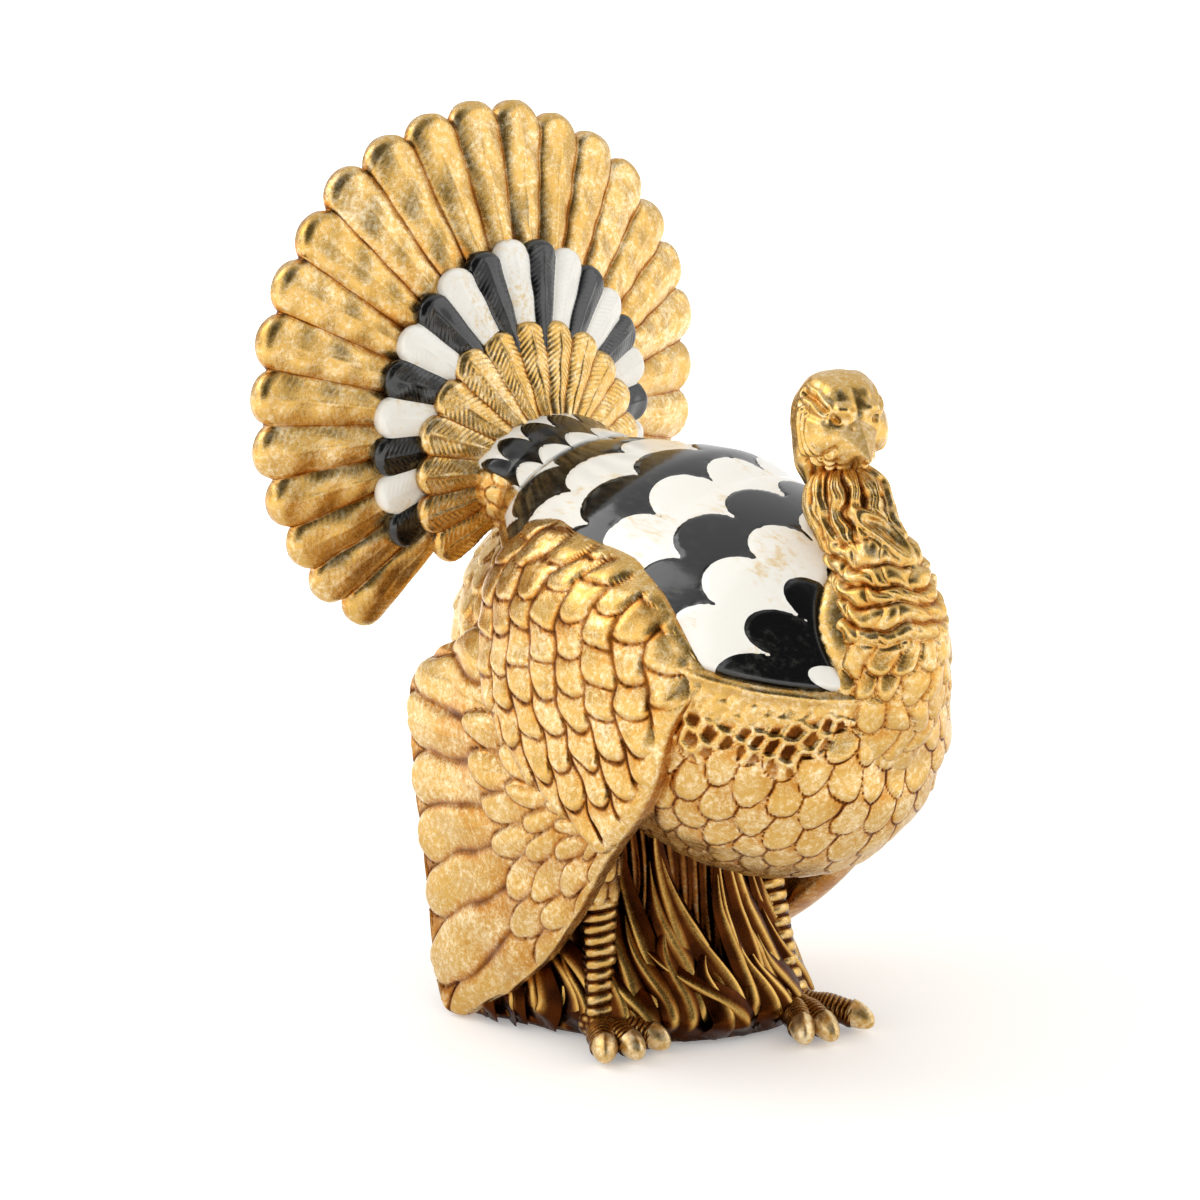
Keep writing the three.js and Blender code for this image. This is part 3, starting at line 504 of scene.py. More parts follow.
def breast_feathers(points, edge, sizes):
    """Feathers over the breast and belly. They run down in columns from the joint. Large round tips overlap
    below. The upper ones give way to a net of small sunk cells: the height falls with the distance from the
    nearest edge of the cell, and the cells' centres are dark with pooled glaze and a painted dark reflection.
    Along the joint the net gives way to flutes, which are arches side by side."""
    u, v, width = around_axis(points, CROP_CENTRE, CROP_AXIS, sizes.breast_columns)
    tip, cover, across, row, column = feathers(u * 0.94, v, 0.72)
    scale = feather_relief(tip, across, edge=0.24, lap=1.5, pillow=0.7, power=2.4)
    seams = seamed(scale, tip, cover, across, width, width)
    heading = np.abs(column + 0.5) * 2 * np.pi / sizes.breast_columns
    net = row + 0.5 < np.interp(heading, *NET_EDGE)
    u, v, small = around_axis(points, CROP_CENTRE, CROP_AXIS, sizes.net_columns)
    tip, cover, across, small_row, small_column = feathers(u * 0.82, v, 0.3, 0.4)
    far = np.minimum(np.minimum(tip, cover), (1 - np.abs(across)) / 2)
    raised = smooth(far, 0.25, 0.05)
    cell = 0.2 + 0.8 * raised
    flute = arch_of(across, 0.98, 2.6)
    start = lerp(FLUTES_END, FLUTES_END_AT_SIDE, smooth(np.abs(points[..., 0]), 34 * MM, 66 * MM))
    fluted = smooth(edge, start + FLUTES_FADE, start)
    # pooled is the relief in the cells' sunk centres: glaze that pools there, made darker still as a painted
    # dark reflection, more in some places than in others.
    pooled = lerp(0.3, 0.08, np.clip(0.62 + 0.7 * unevenness(points, 34 * MM, 6), 0, 1))
    shade = lerp(lerp(pooled, 0.86, raised), 0.25 + 0.75 * flute, fluted)
    relief = np.where(net, lerp(cell, flute, fluted), scale)
    depth = np.where(net, small * lerp(0.19, 0.22, fluted), np.clip(width, 5 * MM, 17 * MM) * 0.17)
    tint = np.where(net, own_number(small_row, small_column), own_number(row, column))
    return relief, relief * depth, np.where(net, shade, seams), tint


def build_breast(sizes):
    """The torso's whole surface with its feathers. Under the enamelled back it lies deeper. Along the joint
    it rises to a smooth rim, a bell curve of the distance from the joint, and inside the collar it rises in
    a hollow quarter circle to the neck."""
    shown_turns = np.linspace(150, 390, 336) * DEGREE
    hidden_turns = np.linspace(30, 150, 44)[1:-1] * DEGREE
    turns = np.concatenate([shown_turns - 2 * np.pi, hidden_turns])
    grid, normal = torso_grid(sizes.torso_rings, turns, True)
    edge = saddle_edge(grid)
    relief, height, seams, tint = breast_feathers(wobbled(grid, 32 * MM, 3, 2.4 * MM), edge, sizes)
    shown = smooth(edge, RIM_WIDTH * 0.55, RIM_WIDTH * 1.15)
    offset = (height - height.mean()) * shown
    offset += 2.1 * RIM_HEIGHT * bump(edge - RIM_WIDTH / 2, RIM_WIDTH * 0.5)
    offset -= ENAMEL_DEPTH * 1.4 * (1 - smooth(edge, -1.6 * MM, 0.2 * MM))
    offset += unevenness(grid, 26 * MM, 4) * 0.7 * MM
    relief = lerp(0.62 + 0.1 * smooth(edge, 0, RIM_WIDTH / 2), seams, shown)
    inside = COLLAR_RADIUS - np.linalg.norm(grid - COLLAR, axis=-1)
    collar = smooth(inside, -3 * MM, 3 * MM)
    fillet = 1 - (1 - np.clip(inside / COLLAR_FILLET, 0, 1)) ** 2
    offset = lerp(offset, RIM_HEIGHT + COLLAR_RISE * fillet, collar)
    relief = lerp(relief, 0.85, collar)
    return closed_mesh("breast_casting", grid + normal * offset[..., None], relief=relief, tint=tint)


def shell_mesh(name, grid, normal, offset, thickness, **values):
    """A closed shell over an open strip of a surface: its outer face, and an inner face a thickness below."""
    outer = grid + normal * offset[..., None]
    inner = (grid - normal * thickness)[:, ::-1]
    values = {key: np.concatenate([value, value[:, ::-1]], 1) for key, value in values.items()}
    return closed_mesh(name, np.concatenate([outer, inner], 1), **values)


BACK_ROW_LENGTH = 27 * MM
BACK_ROW_BOW = 12 * MM
BACK_FIRST_ROW = 20.2


def enamel_feathers(points, columns):
    """Broad enamelled feathers in staggered rows, one row black and the next ivory. Rows go by the distance
    forward, less some for the turn to the side, so they bow. Gives their relief, their height, their ink
    and a number of each feather's own. ink is above zero on black feathers, below zero on ivory ones, and
    nought along the edges between them."""
    side = np.arctan2(points[..., 0], points[..., 2] - TORSO_BREAST_Z - 0.3 * TORSO_RISE)
    u = (points[..., 1] - BACK_ROW_BOW * np.abs(side)) / BACK_ROW_LENGTH + BACK_FIRST_ROW
    tip, cover, across, row, column = feathers(u, side * columns / (2 * np.pi), 0.66)
    near = np.clip(np.minimum(tip, cover) * 14, 0, 1)
    relief = feather_relief(tip, across, edge=0.1, lap=1.7, pillow=0.35)
    return relief, relief * 1.5 * MM, np.where(row % 2 == 0, near, -near), own_number(row, column)


def build_back(sizes):
    """The enamelled back: a shell over the upper half of the torso. Past its joint with the breast it dips
    under the breast's rim."""
    grid, normal = torso_grid(BACK_RINGS, np.linspace(-14, 194, BACK_RINGS) * DEGREE, False)
    grid = grid[: int(0.97 * len(grid))]
    normal = normal[: len(grid)]
    edge = saddle_edge(grid)
    relief, height, ink, tint = enamel_feathers(grid, sizes.back_columns)
    sunk = 1.2 * MM * smooth(edge, -2.5 * MM, -0.5 * MM) + 3 * MM * smooth(edge, -1 * MM, 2.5 * MM)
    values = {"relief": relief, "ink": ink, "tint": tint}
    return shell_mesh("back_enamel", grid, normal, height - sunk, ENAMEL_DEPTH * 1.3, **values)


def root_surface(along, turn):
    """The tail root's surface: it leaves the torso's end straight on and bends up to level."""
    share, width, height = np.moveaxis(row_at(ROOT_SHARES, along), -1, 0)
    tangent = root_tangent()
    straight = tangent * (0.3 * MM + ROOT_LENGTH * share * (1 - share))[..., None]
    bent = vec(0, ROOT_LENGTH * share**2, ROOT_END_RISE * share**2)
    rise = unit(vec(0, -tangent[2] * (1 - share), tangent[1]))
    level = vec(width * TORSO_HALF_WIDTH * np.cos(turn), 0, 0)
    upright = rise * (height * TORSO_HALF_HEIGHT * np.sin(turn))[..., None]
    return TORSO_END + straight + bent + level + upright


def build_root():
    """The gilded tail root: small rounded feathers all round it."""
    along = np.linspace(0, 1, 76)[:, None]
    turn = full_turn(220)
    along, turn = np.broadcast_arrays(along, turn)
    grid = root_surface(along, turn)
    normal = normals_of(grid)
    tip, _, across, row, column = feathers(along * 3.1 + 0.2, turn / (2 * np.pi) * 18, 0.55)
    relief = feather_relief(tip, across, edge=0.2, lap=1.4, pillow=0.9)
    grid = grid + normal * ((relief - 0.5) * 2.4 * MM)[..., None]
    return closed_mesh("tail_root_feathers", grid, relief=relief, tint=own_number(row, column))


def build_root_enamel():
    """Two rows of enamelled feathers over the top of the tail root, as a shell."""
    along = np.linspace(0.02, 0.8, 66)[:, None]
    turn = np.linspace(14, 166, 200)[None] * DEGREE
    along, turn = np.broadcast_arrays(along, turn)
    grid = root_surface(along, turn)
    normal = normals_of(grid, False)
    tip, cover, across, row, column = feathers(along * 2.2 + 0.4, turn / (2 * np.pi) * 16, 0.7)
    near = np.clip(np.minimum(tip, cover) * 10, 0, 1)
    relief = feather_relief(tip, across, edge=0.12, lap=1.7, pillow=0.4)
    rim = smooth(np.minimum(turn - turn.min(), turn.max() - turn), 0, 8 * DEGREE)
    offset = (1.6 * relief + 0.8) * rim - 2 * (1 - rim)
    ink = np.where(row % 2 == 0, -near, near)
    values = {"relief": relief, "ink": ink, "tint": own_number(row, column)}
    return shell_mesh("tail_root_enamel", grid, normal, offset * MM, ENAMEL_DEPTH * 1.6, **values)


# Tail fan
def fan_row(
    name, apex, slant, each, angle, tip, low_loss, side_gain, ridge, root_ridge, groove, fine, **looks
):
    """A row of tail feathers on a cone, as one closed surface. Round it goes the section of the fan, from
    the root up the front, round the tip and down the back. Along it goes the turn about the apex. Each
    feather is arched across on both faces, and its tip is a half round. There are each feathers on either
    side of the middle one, an angle apart, and tip is its length. low_loss shortens the low ones and
    side_gain lengthens those at the sides. The crests rise from root_ridge to ridge, over the groove
    between feathers. fine is the number of steps across a feather."""
    half = (each + 0.5) * angle
    turn = np.linspace(-half, half, (2 * each + 1) * fine + 1)[:, None]
    nearest = np.clip(np.round(turn / angle * 0.9999), -each, each)
    across = np.clip((turn / angle - nearest) * 2, -1, 1)
    nearest = nearest * angle
    own = own_number(np.round(nearest / angle), each)
    arch = arch_of(across)
    full = tip * (1 - low_loss * (1 - np.cos(nearest)) / 2 + side_gain * np.sin(nearest) ** 2)
    full = full + (own - 0.5) * looks["ragged"]
    half_width = full * np.cos(slant) * angle / 2
    end = full - half_width * 0.85 * (1 - arch)
    front = np.linspace(0, 1, looks["lengthwise"]) ** 0.8
    back = np.linspace(1, 0, looks["lengthwise"] // 2 + 2)[1:-1]
    share = np.concatenate([front, back])[None]
    facing = np.concatenate([np.ones(len(front)), -np.ones(len(back))])[None]
    length = FAN_ROOT_LENGTH + (end - FAN_ROOT_LENGTH) * share
    to_tip = np.clip((end - length) / looks["edge"], 0, 1)
    roundness = np.sqrt(1 - (1 - to_tip) ** 2)
    along = (length - FAN_ROOT_LENGTH) / (full - FAN_ROOT_LENGTH)
    shaft = bump(across, 0.07) * looks["shaft"] * (1 - smooth(along, 0.82, 0.97))
    barbs = np.sin((length / MM / looks["barb"] + 2.2 * np.abs(across)) * 2 * np.pi) * looks["barb_depth"]
    barbs = barbs * (1 - bump(across, 0.12)) * smooth(along, 0.1, 0.3)
    high = lerp(root_ridge, ridge, along) - groove * (1 - arch) + shaft + barbs
    low = -looks["back"] + groove * 0.5 * (1 - arch) - shaft * 0.5
    middle = lerp(low, high, 0.45)
    height = lerp(middle, np.where(facing > 0, high, low), roundness)
    side, along_z = np.sin(turn + FAN_RIGHT_TURN), np.cos(turn + FAN_RIGHT_TURN)
    out = vec(-side * math.cos(slant), math.sin(slant), along_z * math.cos(slant))
    forward = vec(-side * math.sin(slant), -math.cos(slant), along_z * math.sin(slant))
    grid = apex + out * length[..., None] + forward * height[..., None]
    grid = grid + forward * (unevenness(grid, 17 * MM, 5 + each) * looks["dents"])[..., None]
    crown = 0.1 + 0.9 * np.sqrt(np.clip((arch - 0.34) / 0.66, 0, 1))
    relief = crown * (0.55 + 0.45 * smooth(to_tip, 0, 0.4))
    # Each feather darkens towards its root, where the row in front lies over it: painted shade.
    relief = relief * lerp(0.55, 1, smooth(along, looks["shade"] - 0.12, looks["shade"] + 0.22))
    near = np.clip((1 - np.abs(across)) * 9, 0, 1)
    ink = np.where(np.round(nearest / angle) % 2 != 0, near, -near) * np.ones_like(relief)
    tint = np.broadcast_to(own, relief.shape)
    return closed_mesh(name, grid, relief=relief, ink=ink, tint=tint)


def build_outer_row():
    """The long gilded feathers behind: smooth, rounded and deeply grooved."""
    return fan_row(
        "outer_feathers", FAN_APEX, FAN_SLANT, each=12, angle=11.13 * DEGREE, tip=154 * MM, low_loss=0.21,
        side_gain=0.035, ridge=5 * MM, root_ridge=-5 * MM, groove=4.6 * MM, fine=24, lengthwise=104,
        edge=6.5 * MM, shaft=0.25 * MM, barb=3.1, barb_depth=0.05 * MM, dents=0.7 * MM, ragged=2.4 * MM,
        shade=0.52, back=FAN_BACK,
    )


def build_middle_row():
    """The short enamelled feathers, black and ivory by turns, with brushed grooves."""
    return fan_row(
        "middle_feathers", FAN_APEX, FAN_SLANT, each=9, angle=13.4 * DEGREE, tip=87.5 * MM, low_loss=-0.12,
        side_gain=-0.05, ridge=6.2 * MM, root_ridge=-1.5 * MM, groove=2.6 * MM, fine=24, lengthwise=84,
        edge=4.5 * MM, shaft=0.3 * MM, barb=2.4, barb_depth=0.09 * MM, dents=0.5 * MM, ragged=1.5 * MM,
        shade=0.3, back=SHORT_ROW_BACK,
    )


def build_inner_row():
    """The gilded coverts in front, with raised shafts and fine barbs."""
    return fan_row(
        "inner_feathers", INNER_APEX, 16.5 * DEGREE, each=7, angle=17.2 * DEGREE, tip=70 * MM, low_loss=0,
        side_gain=0, ridge=4 * MM, root_ridge=3 * MM, groove=2.6 * MM, fine=28, lengthwise=84,
        edge=4 * MM, shaft=0.8 * MM, barb=2.6, barb_depth=0.14 * MM, dents=0.6 * MM, ragged=3 * MM,
        shade=0.1, back=SHORT_ROW_BACK,
    )


def build_undertail():
    """The rump: an upright ellipsoid with feathers that hang from its top."""
    polar = np.linspace(0.04, np.pi - 0.04, 130)[:, None]
    turn = full_turn(230)
    ball = vec(np.sin(polar) * np.cos(turn), np.sin(polar) * np.sin(turn), np.cos(polar))
    grid = TORSO_END + UNDERTAIL_SHIFT + ball * UNDERTAIL_HALF
    normal = normals_of(grid)
    u, v = np.broadcast_arrays(polar * 4.4, turn / (2 * np.pi) * 16)
    tip, _, across, row, column = feathers(u, v, 0.75)
    relief = feather_relief(tip, across, edge=0.14, pillow=0.6)
    grid = grid + normal * ((relief - 0.6) * 3 * MM + unevenness(grid, 24 * MM, 9) * 0.7 * MM)[..., None]
    return closed_mesh("undertail_feathers", grid, relief=relief, tint=own_number(row, column))


# Wings. A wing is a loft of level slices, each an outer curve from front to rear and an inner curve back.
def wing_row(z):
    """A slice of the wing: its height as a share of the wing's, the places of its front and rear edges, their
    shares of the half span, and the bulge between them."""
    share = np.clip((z - WING_GROUND_GAP) / (WING_TOP_Z - WING_GROUND_GAP), 0, 1)
    _, front, rear, span_front, span_rear, bulge = np.moveaxis(table_at(WING_SHARES, share), -1, 0)
    return share, front * WING_FRONT_Y, rear * WING_REAR_Y, span_front, span_rear, bulge


def wing_curve(z, q, front_edge, rear_edge, outset):
    """A point of the outer face at height z, q from 0 at the slice's front edge to 1 at its rear edge."""
    _, front, rear, span_front, span_rear, bulge = wing_row(z)
    y = lerp(front_edge, rear_edge, q)
    whole = np.clip((y - front) / (rear - front), 0, 1)
    span = lerp(span_front, span_rear, whole) + bulge * 4 * whole * (1 - whole)
    fade = np.abs(2 * q - 1) ** 6
    return vec(-(span * WING_HALF_SPAN + outset * (1 - fade)), y, z)


def wing_loft(z, front_edge, rear_edge, outset, thickness, columns):
    """The outer and the inner face of a wing piece. Its edges are rounded."""
    q = (1 - np.cos(np.linspace(0, np.pi, columns)))[None] / 2
    outer = wing_curve(z, q, front_edge, rear_edge, outset)
    back = q[:, ::-3]
    inner = wing_curve(z, back, front_edge, rear_edge, outset)
    edge = np.minimum(back, 1 - back) * (rear_edge - front_edge)
    depth = thickness * (0.12 + 0.88 * np.sqrt(1 - (1 - np.clip(edge / (12 * MM), 0, 1)) ** 2))
    return outer, inner + vec(depth, 0, 0)


# The line that the shield's feathers run beside: height as a share of the wing's, and place.
SHIELD_GUIDE = np.array([
    [0.4, -30], [0.46, -22], [0.5, -15], [0.6, 0], [0.7, 10], [0.75, 14], [0.85, 18], [0.93, 12], [1, -6],
]) * [1, MM]


def shield_guide(z):
    """The place at a height of the line that the shield's feathers run beside: its rear edge above, then
    nearly straight down."""
    return np.interp((z - WING_GROUND_GAP) / (WING_TOP_Z - WING_GROUND_GAP), *SHIELD_GUIDE.T)


def build_shield(name, mirror, sizes):
    """A wing's upper part: columns of pillowed feathers that start at the wing's front edge and hang down,
    wider and rounder at their tips as they go."""
    low = WING_GROUND_GAP + 0.455 * (WING_TOP_Z - WING_GROUND_GAP)
    z = np.linspace(low, WING_TOP_Z, 170)[:, None]
    share, front, rear = wing_row(z)[:3]
    shield_rear = table_at(SHIELD_SHARES, share)[..., 1] * WING_REAR_Y
    rear = np.maximum(np.minimum(rear, shield_rear), front + 8 * MM)
    column_width = sizes.wing_column_width
    v_rear = (shield_guide(z) - rear) / column_width
    lobe = 1 - arch_of(2 * (v_rear % 1) - 1)
    rear = rear - lobe * WING_LOBE_DEPTH * (1 - smooth(share, 0.7, 0.8))
    outer, inner = wing_loft(z, front, rear, SHIELD_STEP, SHIELD_THICKNESS, 210)
    normal = normals_of(outer, False)
    place = wobbled(outer, 30 * MM, 12, 2.2 * MM)
    v = (shield_guide(outer[..., 2]) - place[..., 1] + 3 * MM) / column_width + 20
    down = smooth(share, 0.8, 0.5)
    u = (WING_TOP_Z - place[..., 2]) / sizes.wing_row_height
    tip, cover, across, row, column = feathers(u + 0.37 * np.floor(v), v, lerp(0.2, 0.75, down), 0)
    relief = feather_relief(tip, across, edge=lerp(0.3, 0.24, down), pillow=0.85, power=lerp(3.4, 2.4, down))
    offset = (relief - 0.55) * lerp(3.2, 4.6, down) * MM + unevenness(outer, 22 * MM, 13) * 0.7 * MM
    least = lerp(0.42, 0.2, down)
    seams = seamed(relief, tip, cover, across, sizes.wing_row_height, column_width, 1.9 * MM, least)
    frontal = smooth((outer[..., 1] - front) / MM, 2, 8)
    offset = offset * lerp(0.25, 1, frontal)
    relief = lerp(0.7, seams, frontal)
    outer = outer + normal * offset[..., None]
    return wing_mesh(name, outer, inner, mirror, relief, own_number(row, column), (5 * MM, 9 * MM))


def wing_mesh(name, outer, inner, mirror, relief, tint, rounding):
    """A wing piece from its two faces, with its lower and upper ends rounded. The left one is mirrored."""
    fill = np.full(inner.shape[:2], 0.35)
    grid = np.concatenate([outer, inner], 1)
    grid = round_ends(grid, rounding[0], (True, False))
    grid = round_ends(grid, rounding[1], (False, True))
    if mirror:
        grid = grid * [-1, 1, 1]
    values = {"relief": np.concatenate([relief, fill], 1), "tint": np.concatenate([tint, fill], 1)}
    return closed_mesh(name, grid, **values)


WRIST = np.array([-105, 138]) * MM
FLIGHT_FROM = -14 * DEGREE
FLIGHT_STEP = 9.2 * DEGREE
COVERT_LENGTH = 23 * MM


def flight_fan(y, z):
    """Radius and feather count of a point of the wing about the wrist, from which the flights spread."""
    radius = np.hypot(y - WRIST[0], WRIST[1] - z)
    return radius, (np.arctan2(WRIST[1] - z, y - WRIST[0]) - FLIGHT_FROM) / FLIGHT_STEP


def flight_feathers(points, reach):
    """Long flight feathers that spread from the wrist, with shorter coverts over their upper ends. reach is
    the radius of the wing's rear edge at each turn."""
    radius, v = flight_fan(points[..., 1], points[..., 2])
    short = np.interp(v, *reach) - radius
    long_length = lerp(50, 72, smooth(v, 1, 6)) * MM
    u = np.where(short < long_length, -short / long_length, -1 - (short - long_length) / COVERT_LENGTH)
    long = smooth(u, -1.25, -0.95)
    tip, cover, across, row, column = feathers(u - 0.02, v + 0.5, lerp(0.62, 0.24, long))
    relief = feather_relief(
        tip, across, edge=lerp(0.3, 0.1, long), lap=lerp(1.5, 1.25, long), pillow=0.8,
        power=lerp(2.4, 2.1, long),
    )
    length = lerp(COVERT_LENGTH, long_length, long)
    seams = seamed(relief, tip, cover, across, length, radius * FLIGHT_STEP, 4.4 * MM, 0.6)
    shaft = bump(across, 0.06) * 0.3 * smooth(tip, 0.02, 0.3)
    return relief, shaft, seams, own_number(row, column)


def build_flights(name, mirror):
    """A wing's lower part: flight feathers down to the ground, whose tips scallop its rear edge."""
    z = np.linspace(WING_GROUND_GAP, FLIGHTS_TOP_Z, 210)[:, None]
    _, front, rear = wing_row(z)[:3]
    rise = np.clip((z - 0.8 * FLIGHTS_TOP_Z) / (0.2 * FLIGHTS_TOP_Z), 0, 1)
    shift = LEFT_WING_FORWARD * smooth(LEFT_WING_Z.sum() - z, *LEFT_WING_Z) if mirror else 0
    front = lerp(front, rear * 0.2, rise**2) - shift
    rear = rear - shift
    radius, v_rear = flight_fan(rear, z)
    order = np.argsort(v_rear[:, 0])
    reach = (v_rear[order, 0], radius[order, 0])
    lobe = 1 - arch_of(2 * ((v_rear + 0.5) % 1) - 1)
    rear = rear - 1.6 * WING_LOBE_DEPTH * lobe
    outer, inner = wing_loft(z, front, rear, 0, FLIGHTS_THICKNESS, 210)
    normal = normals_of(outer, False)
    relief, shaft, seams, tint = flight_feathers(wobbled(outer, 38 * MM, 15, 2 * MM), reach)
    offset = (relief - 0.6) * 5.6 * MM + shaft * MM + unevenness(outer, 26 * MM, 16) * 1.1 * MM
    frontal = smooth((outer[..., 1] - front) / MM, 0, 4)
    outer = outer + normal * (offset * frontal)[..., None]
    inner_relief = flight_feathers(inner, reach)[0]
    inner = inner - vec((1 - inner_relief) * 2 * MM, 0, 0)
    return wing_mesh(name, outer, inner, mirror, lerp(0.75, seams, frontal), tint, (4 * MM, 8 * MM))


# Neck and head
def neck_relief(grid, t, turn):
    """Skin of the neck, from 0 in its creases to 1, and its depth. Hanging lobes with round tips lie over the
    breast. Rows of round lumps go round the middle: the sine of the height times the sine of the turn. Ropes
    hang down from the head: the sine of the turn, with waves along it. A long lobe lies over their ends."""
    front = -np.sin(turn)
    z = grid[..., 2]
    bend = unevenness(grid, 16 * MM, 21)
    lobe_rows = (NECK_BOTTOM_Z + 52 * MM - z) / (13 * MM) + 0.3 * bend
    lobe_columns = turn / (2 * np.pi) * 16 + 0.3 * unevenness(grid, 20 * MM, 22)
    tip, _, across, _, _ = feathers(lobe_rows, lobe_columns, 0.6)
    lobes = feather_relief(tip, across, edge=0.45, lap=1.5, pillow=1)
    wave = (1.2 * np.sin(5 * turn + 5 * t) + 0.5 * np.sin(11 * turn + 2)) * MM + 1.6 * MM * bend
    lump = np.abs(np.sin(6.5 * turn + 2 * bend + z / NECK_ROLL_PITCH * np.pi / 2))
    rolls = np.abs(np.sin(np.pi * (z - NECK_BOTTOM_Z + wave) / NECK_ROLL_PITCH)) ** 0.6
    rolls = rolls * (0.5 + 0.5 * lump**0.6)
    sway = 0.6 * np.sin(9 * t + 2 * turn) + unevenness(grid, 30 * MM, 23) + 0.5 * unevenness(grid, 9 * MM, 24)
    ropes = np.abs(np.sin(6.5 * turn + sway)) ** 0.8
    ropes = ropes * (0.5 + 0.5 * np.abs(np.sin(15 * turn + 2 * sway + 1)) ** 0.7)
    hanging = smooth(t + 0.05 * front, 0.62, 0.76)
    upper = smooth(t, 0.36, 0.43)
    relief = lerp(lerp(lobes, rolls, upper), ropes, hanging)
    depth = lerp(lerp(4.2, 3.4, upper), 3.0 + 1.4 * smooth(front, 0, 1), hanging)
    aside = (turn - 1.41 * np.pi) * 18 * MM + (t - 0.66) * 60 * MM
    ring = np.hypot(aside / (6 * MM), (t - 0.66) * 112 * MM / (13 * MM))
    loop = bump(ring - 0.8, 0.3) + 0.45 * bump(ring, 0.45)
    covered = smooth(ring, 1.35, 0.85)
    return lerp(relief, 0.15 + 0.85 * np.clip(loop, 0, 1), covered), lerp(depth, 5.0, covered) * MM


def build_neck():
    """The neck: a swept tube with a wrinkled, carunculated skin. It is domed inside the head."""
    t, turn = np.broadcast_arrays(even_places(neck_row, 300, 300), full_turn(250))
    grid = spine_surface(neck_row, t, turn)
    normal = normals_of(grid)
    relief, depth = neck_relief(grid, t, turn)
    quiet = 1 - smooth(t, 0.9, 0.98)
    offset = (relief - 0.55) * depth * quiet + unevenness(grid, 22 * MM, 25) * 0.9 * MM
    offset = offset + 2.4 * MM * smooth(t, 0.5, 0.3)
    grid = round_ends(grid + normal * offset[..., None], 19 * MM, (False, True))
    return closed_mesh("neck_casting", grid, relief=0.08 + 0.92 * relief**1.15, tint=relief * 0)


HEAD_FORWARD = np.array([-math.sin(HEAD_TURN), -math.cos(HEAD_TURN), 0])
HEAD_SIDE = np.array([-math.cos(HEAD_TURN), math.sin(HEAD_TURN), 0])
UP = np.array([0.0, 0, 1])


def from_line(azimuth, elevation, *points):
    """How far places on the head lie from a line of places, all in degrees."""
    nearest = np.full(azimuth.shape, np.inf)
    for (a0, e0), (a1, e1) in zip(points[:-1], points[1:]):
        wide, high = a1 - a0, e1 - e0
        along = ((azimuth - a0) * wide + (elevation - e0) * high) / (wide**2 + high**2)
        along = np.clip(along, 0, 1)
        far = np.hypot(azimuth - a0 - wide * along, elevation - e0 - high * along)
        nearest = np.minimum(nearest, far)
    return nearest


def head_features(azimuth, elevation):
    """The heights, in millimetres, of brow, eye, nostrils, cheek and folds on the head. Azimuth is from the
    beak round to either side, and elevation is up. Each is a bell curve about a line of places."""
    def ridge(height, width, *points):
        return height * bump(from_line(azimuth, elevation, *points), width)

    eye = from_line(azimuth, elevation, (43, 20), (62, 32), (84, 36))
    cheek = from_line(azimuth, elevation, (33, -3), (38, -1))
    behind = smooth(azimuth - 0.9 * elevation, 48, 78) * smooth(azimuth, 125, 100)
    # The eye's slit between its lids, the brow, and the fold under the eye
    height = -1.8 * bump(eye, 3) + 0.9 * bump(eye - 8, 4)
    height += ridge(1.5, 13, (26, 44), (48, 54), (92, 58)) + ridge(-1.1, 4, (42, 8), (66, 12), (86, 22))
    # The lumps over the nostrils, the nostrils, and the dip between the lumps
    height += ridge(2.8, 8, (17, 20), (24, 20)) + ridge(-2.4, 3.8, (27, 7), (33, 12))
    height += ridge(-0.6, 7, (0, 40), (0, 20))
    # The cheek, the crease under it, and three folds round it behind
    height += ridge(2.6, 17, (46, -10), (54, -12)) + ridge(-1.6, 3.5, (30, -22), (56, -34), (80, -34))
    height += (0.9 * bump(cheek - 29, 2.6) + 1.1 * bump(cheek - 38, 2.8) + bump(cheek - 47, 3)) * behind
    # The ear's hollow
    height += ridge(-1.4, 5, (104, 10), (110, 0))
    return height


def build_head():
    """The head: an ellipsoid, nearly a cylinder at the back below, with its features, and the smooth strands
    of skin that run down from behind the cheeks. Its points lie closer in front."""
    elevation = np.linspace(89, -89, 250)[:, None]
    place = np.linspace(-1, 1, 340, endpoint=False)[None]
    azimuth = 180 * np.sign(place) * np.abs(place) ** 1.35
    azimuth, elevation = np.broadcast_arrays(azimuth, elevation)
    e, a = elevation * DEGREE, azimuth * DEGREE
    below = elevation < 0
    back = smooth(np.abs(azimuth), 60, 105)
    deep = np.where(below, HEAD_HALF[2] * lerp(1.3, 1.62, back), HEAD_HALF[2] * 0.98)
    round_by = lerp(0.95, lerp(0.8, 0.62, back), smooth(-elevation, -25, 10))
    level = np.cos(e) ** round_by
    forward = (level * np.cos(a) * HEAD_HALF[1])[..., None] * HEAD_FORWARD
    sideways = (level * np.sin(a) * HEAD_HALF[0])[..., None] * HEAD_SIDE
    grid = HEAD_CENTRE + forward + sideways + (np.sin(e) * deep)[..., None] * UP
    normal = normals_of(grid)
    features = head_features(np.abs(azimuth), elevation)
    sway = 0.9 * unevenness(grid, 24 * MM, 31)
    strands = np.abs(np.sin(azimuth / 8.5 + sway)) ** 0.7 - 0.6
    behind_cheeks = smooth(-elevation, 14, 42) * smooth(np.abs(azimuth), 50, 75)
    hanging = np.maximum(behind_cheeks, smooth(-elevation, 26, 42))
    features = features + 2.2 * strands * hanging - 1.7 * smooth(-elevation, 26, 46) * (1 - back)
    features = features + 0.12 * unevenness(grid, 6 * MM, 32) + 0.4 * unevenness(grid, 16 * MM, 33)
    # Under the jaw the relief falls by a quarter, so the glaze darkens the throat: painted shade under the
    # head.
    painted_throat_shade = smooth(-elevation, 34, 58) * (1 - back)
    relief = np.clip(0.78 + features * 0.2, 0.05, 1) * lerp(1, 0.75, painted_throat_shade)
    grid = grid + normal * (features * MM)[..., None]
    return closed_mesh("head_casting", grid, relief=relief, tint=relief * 0)


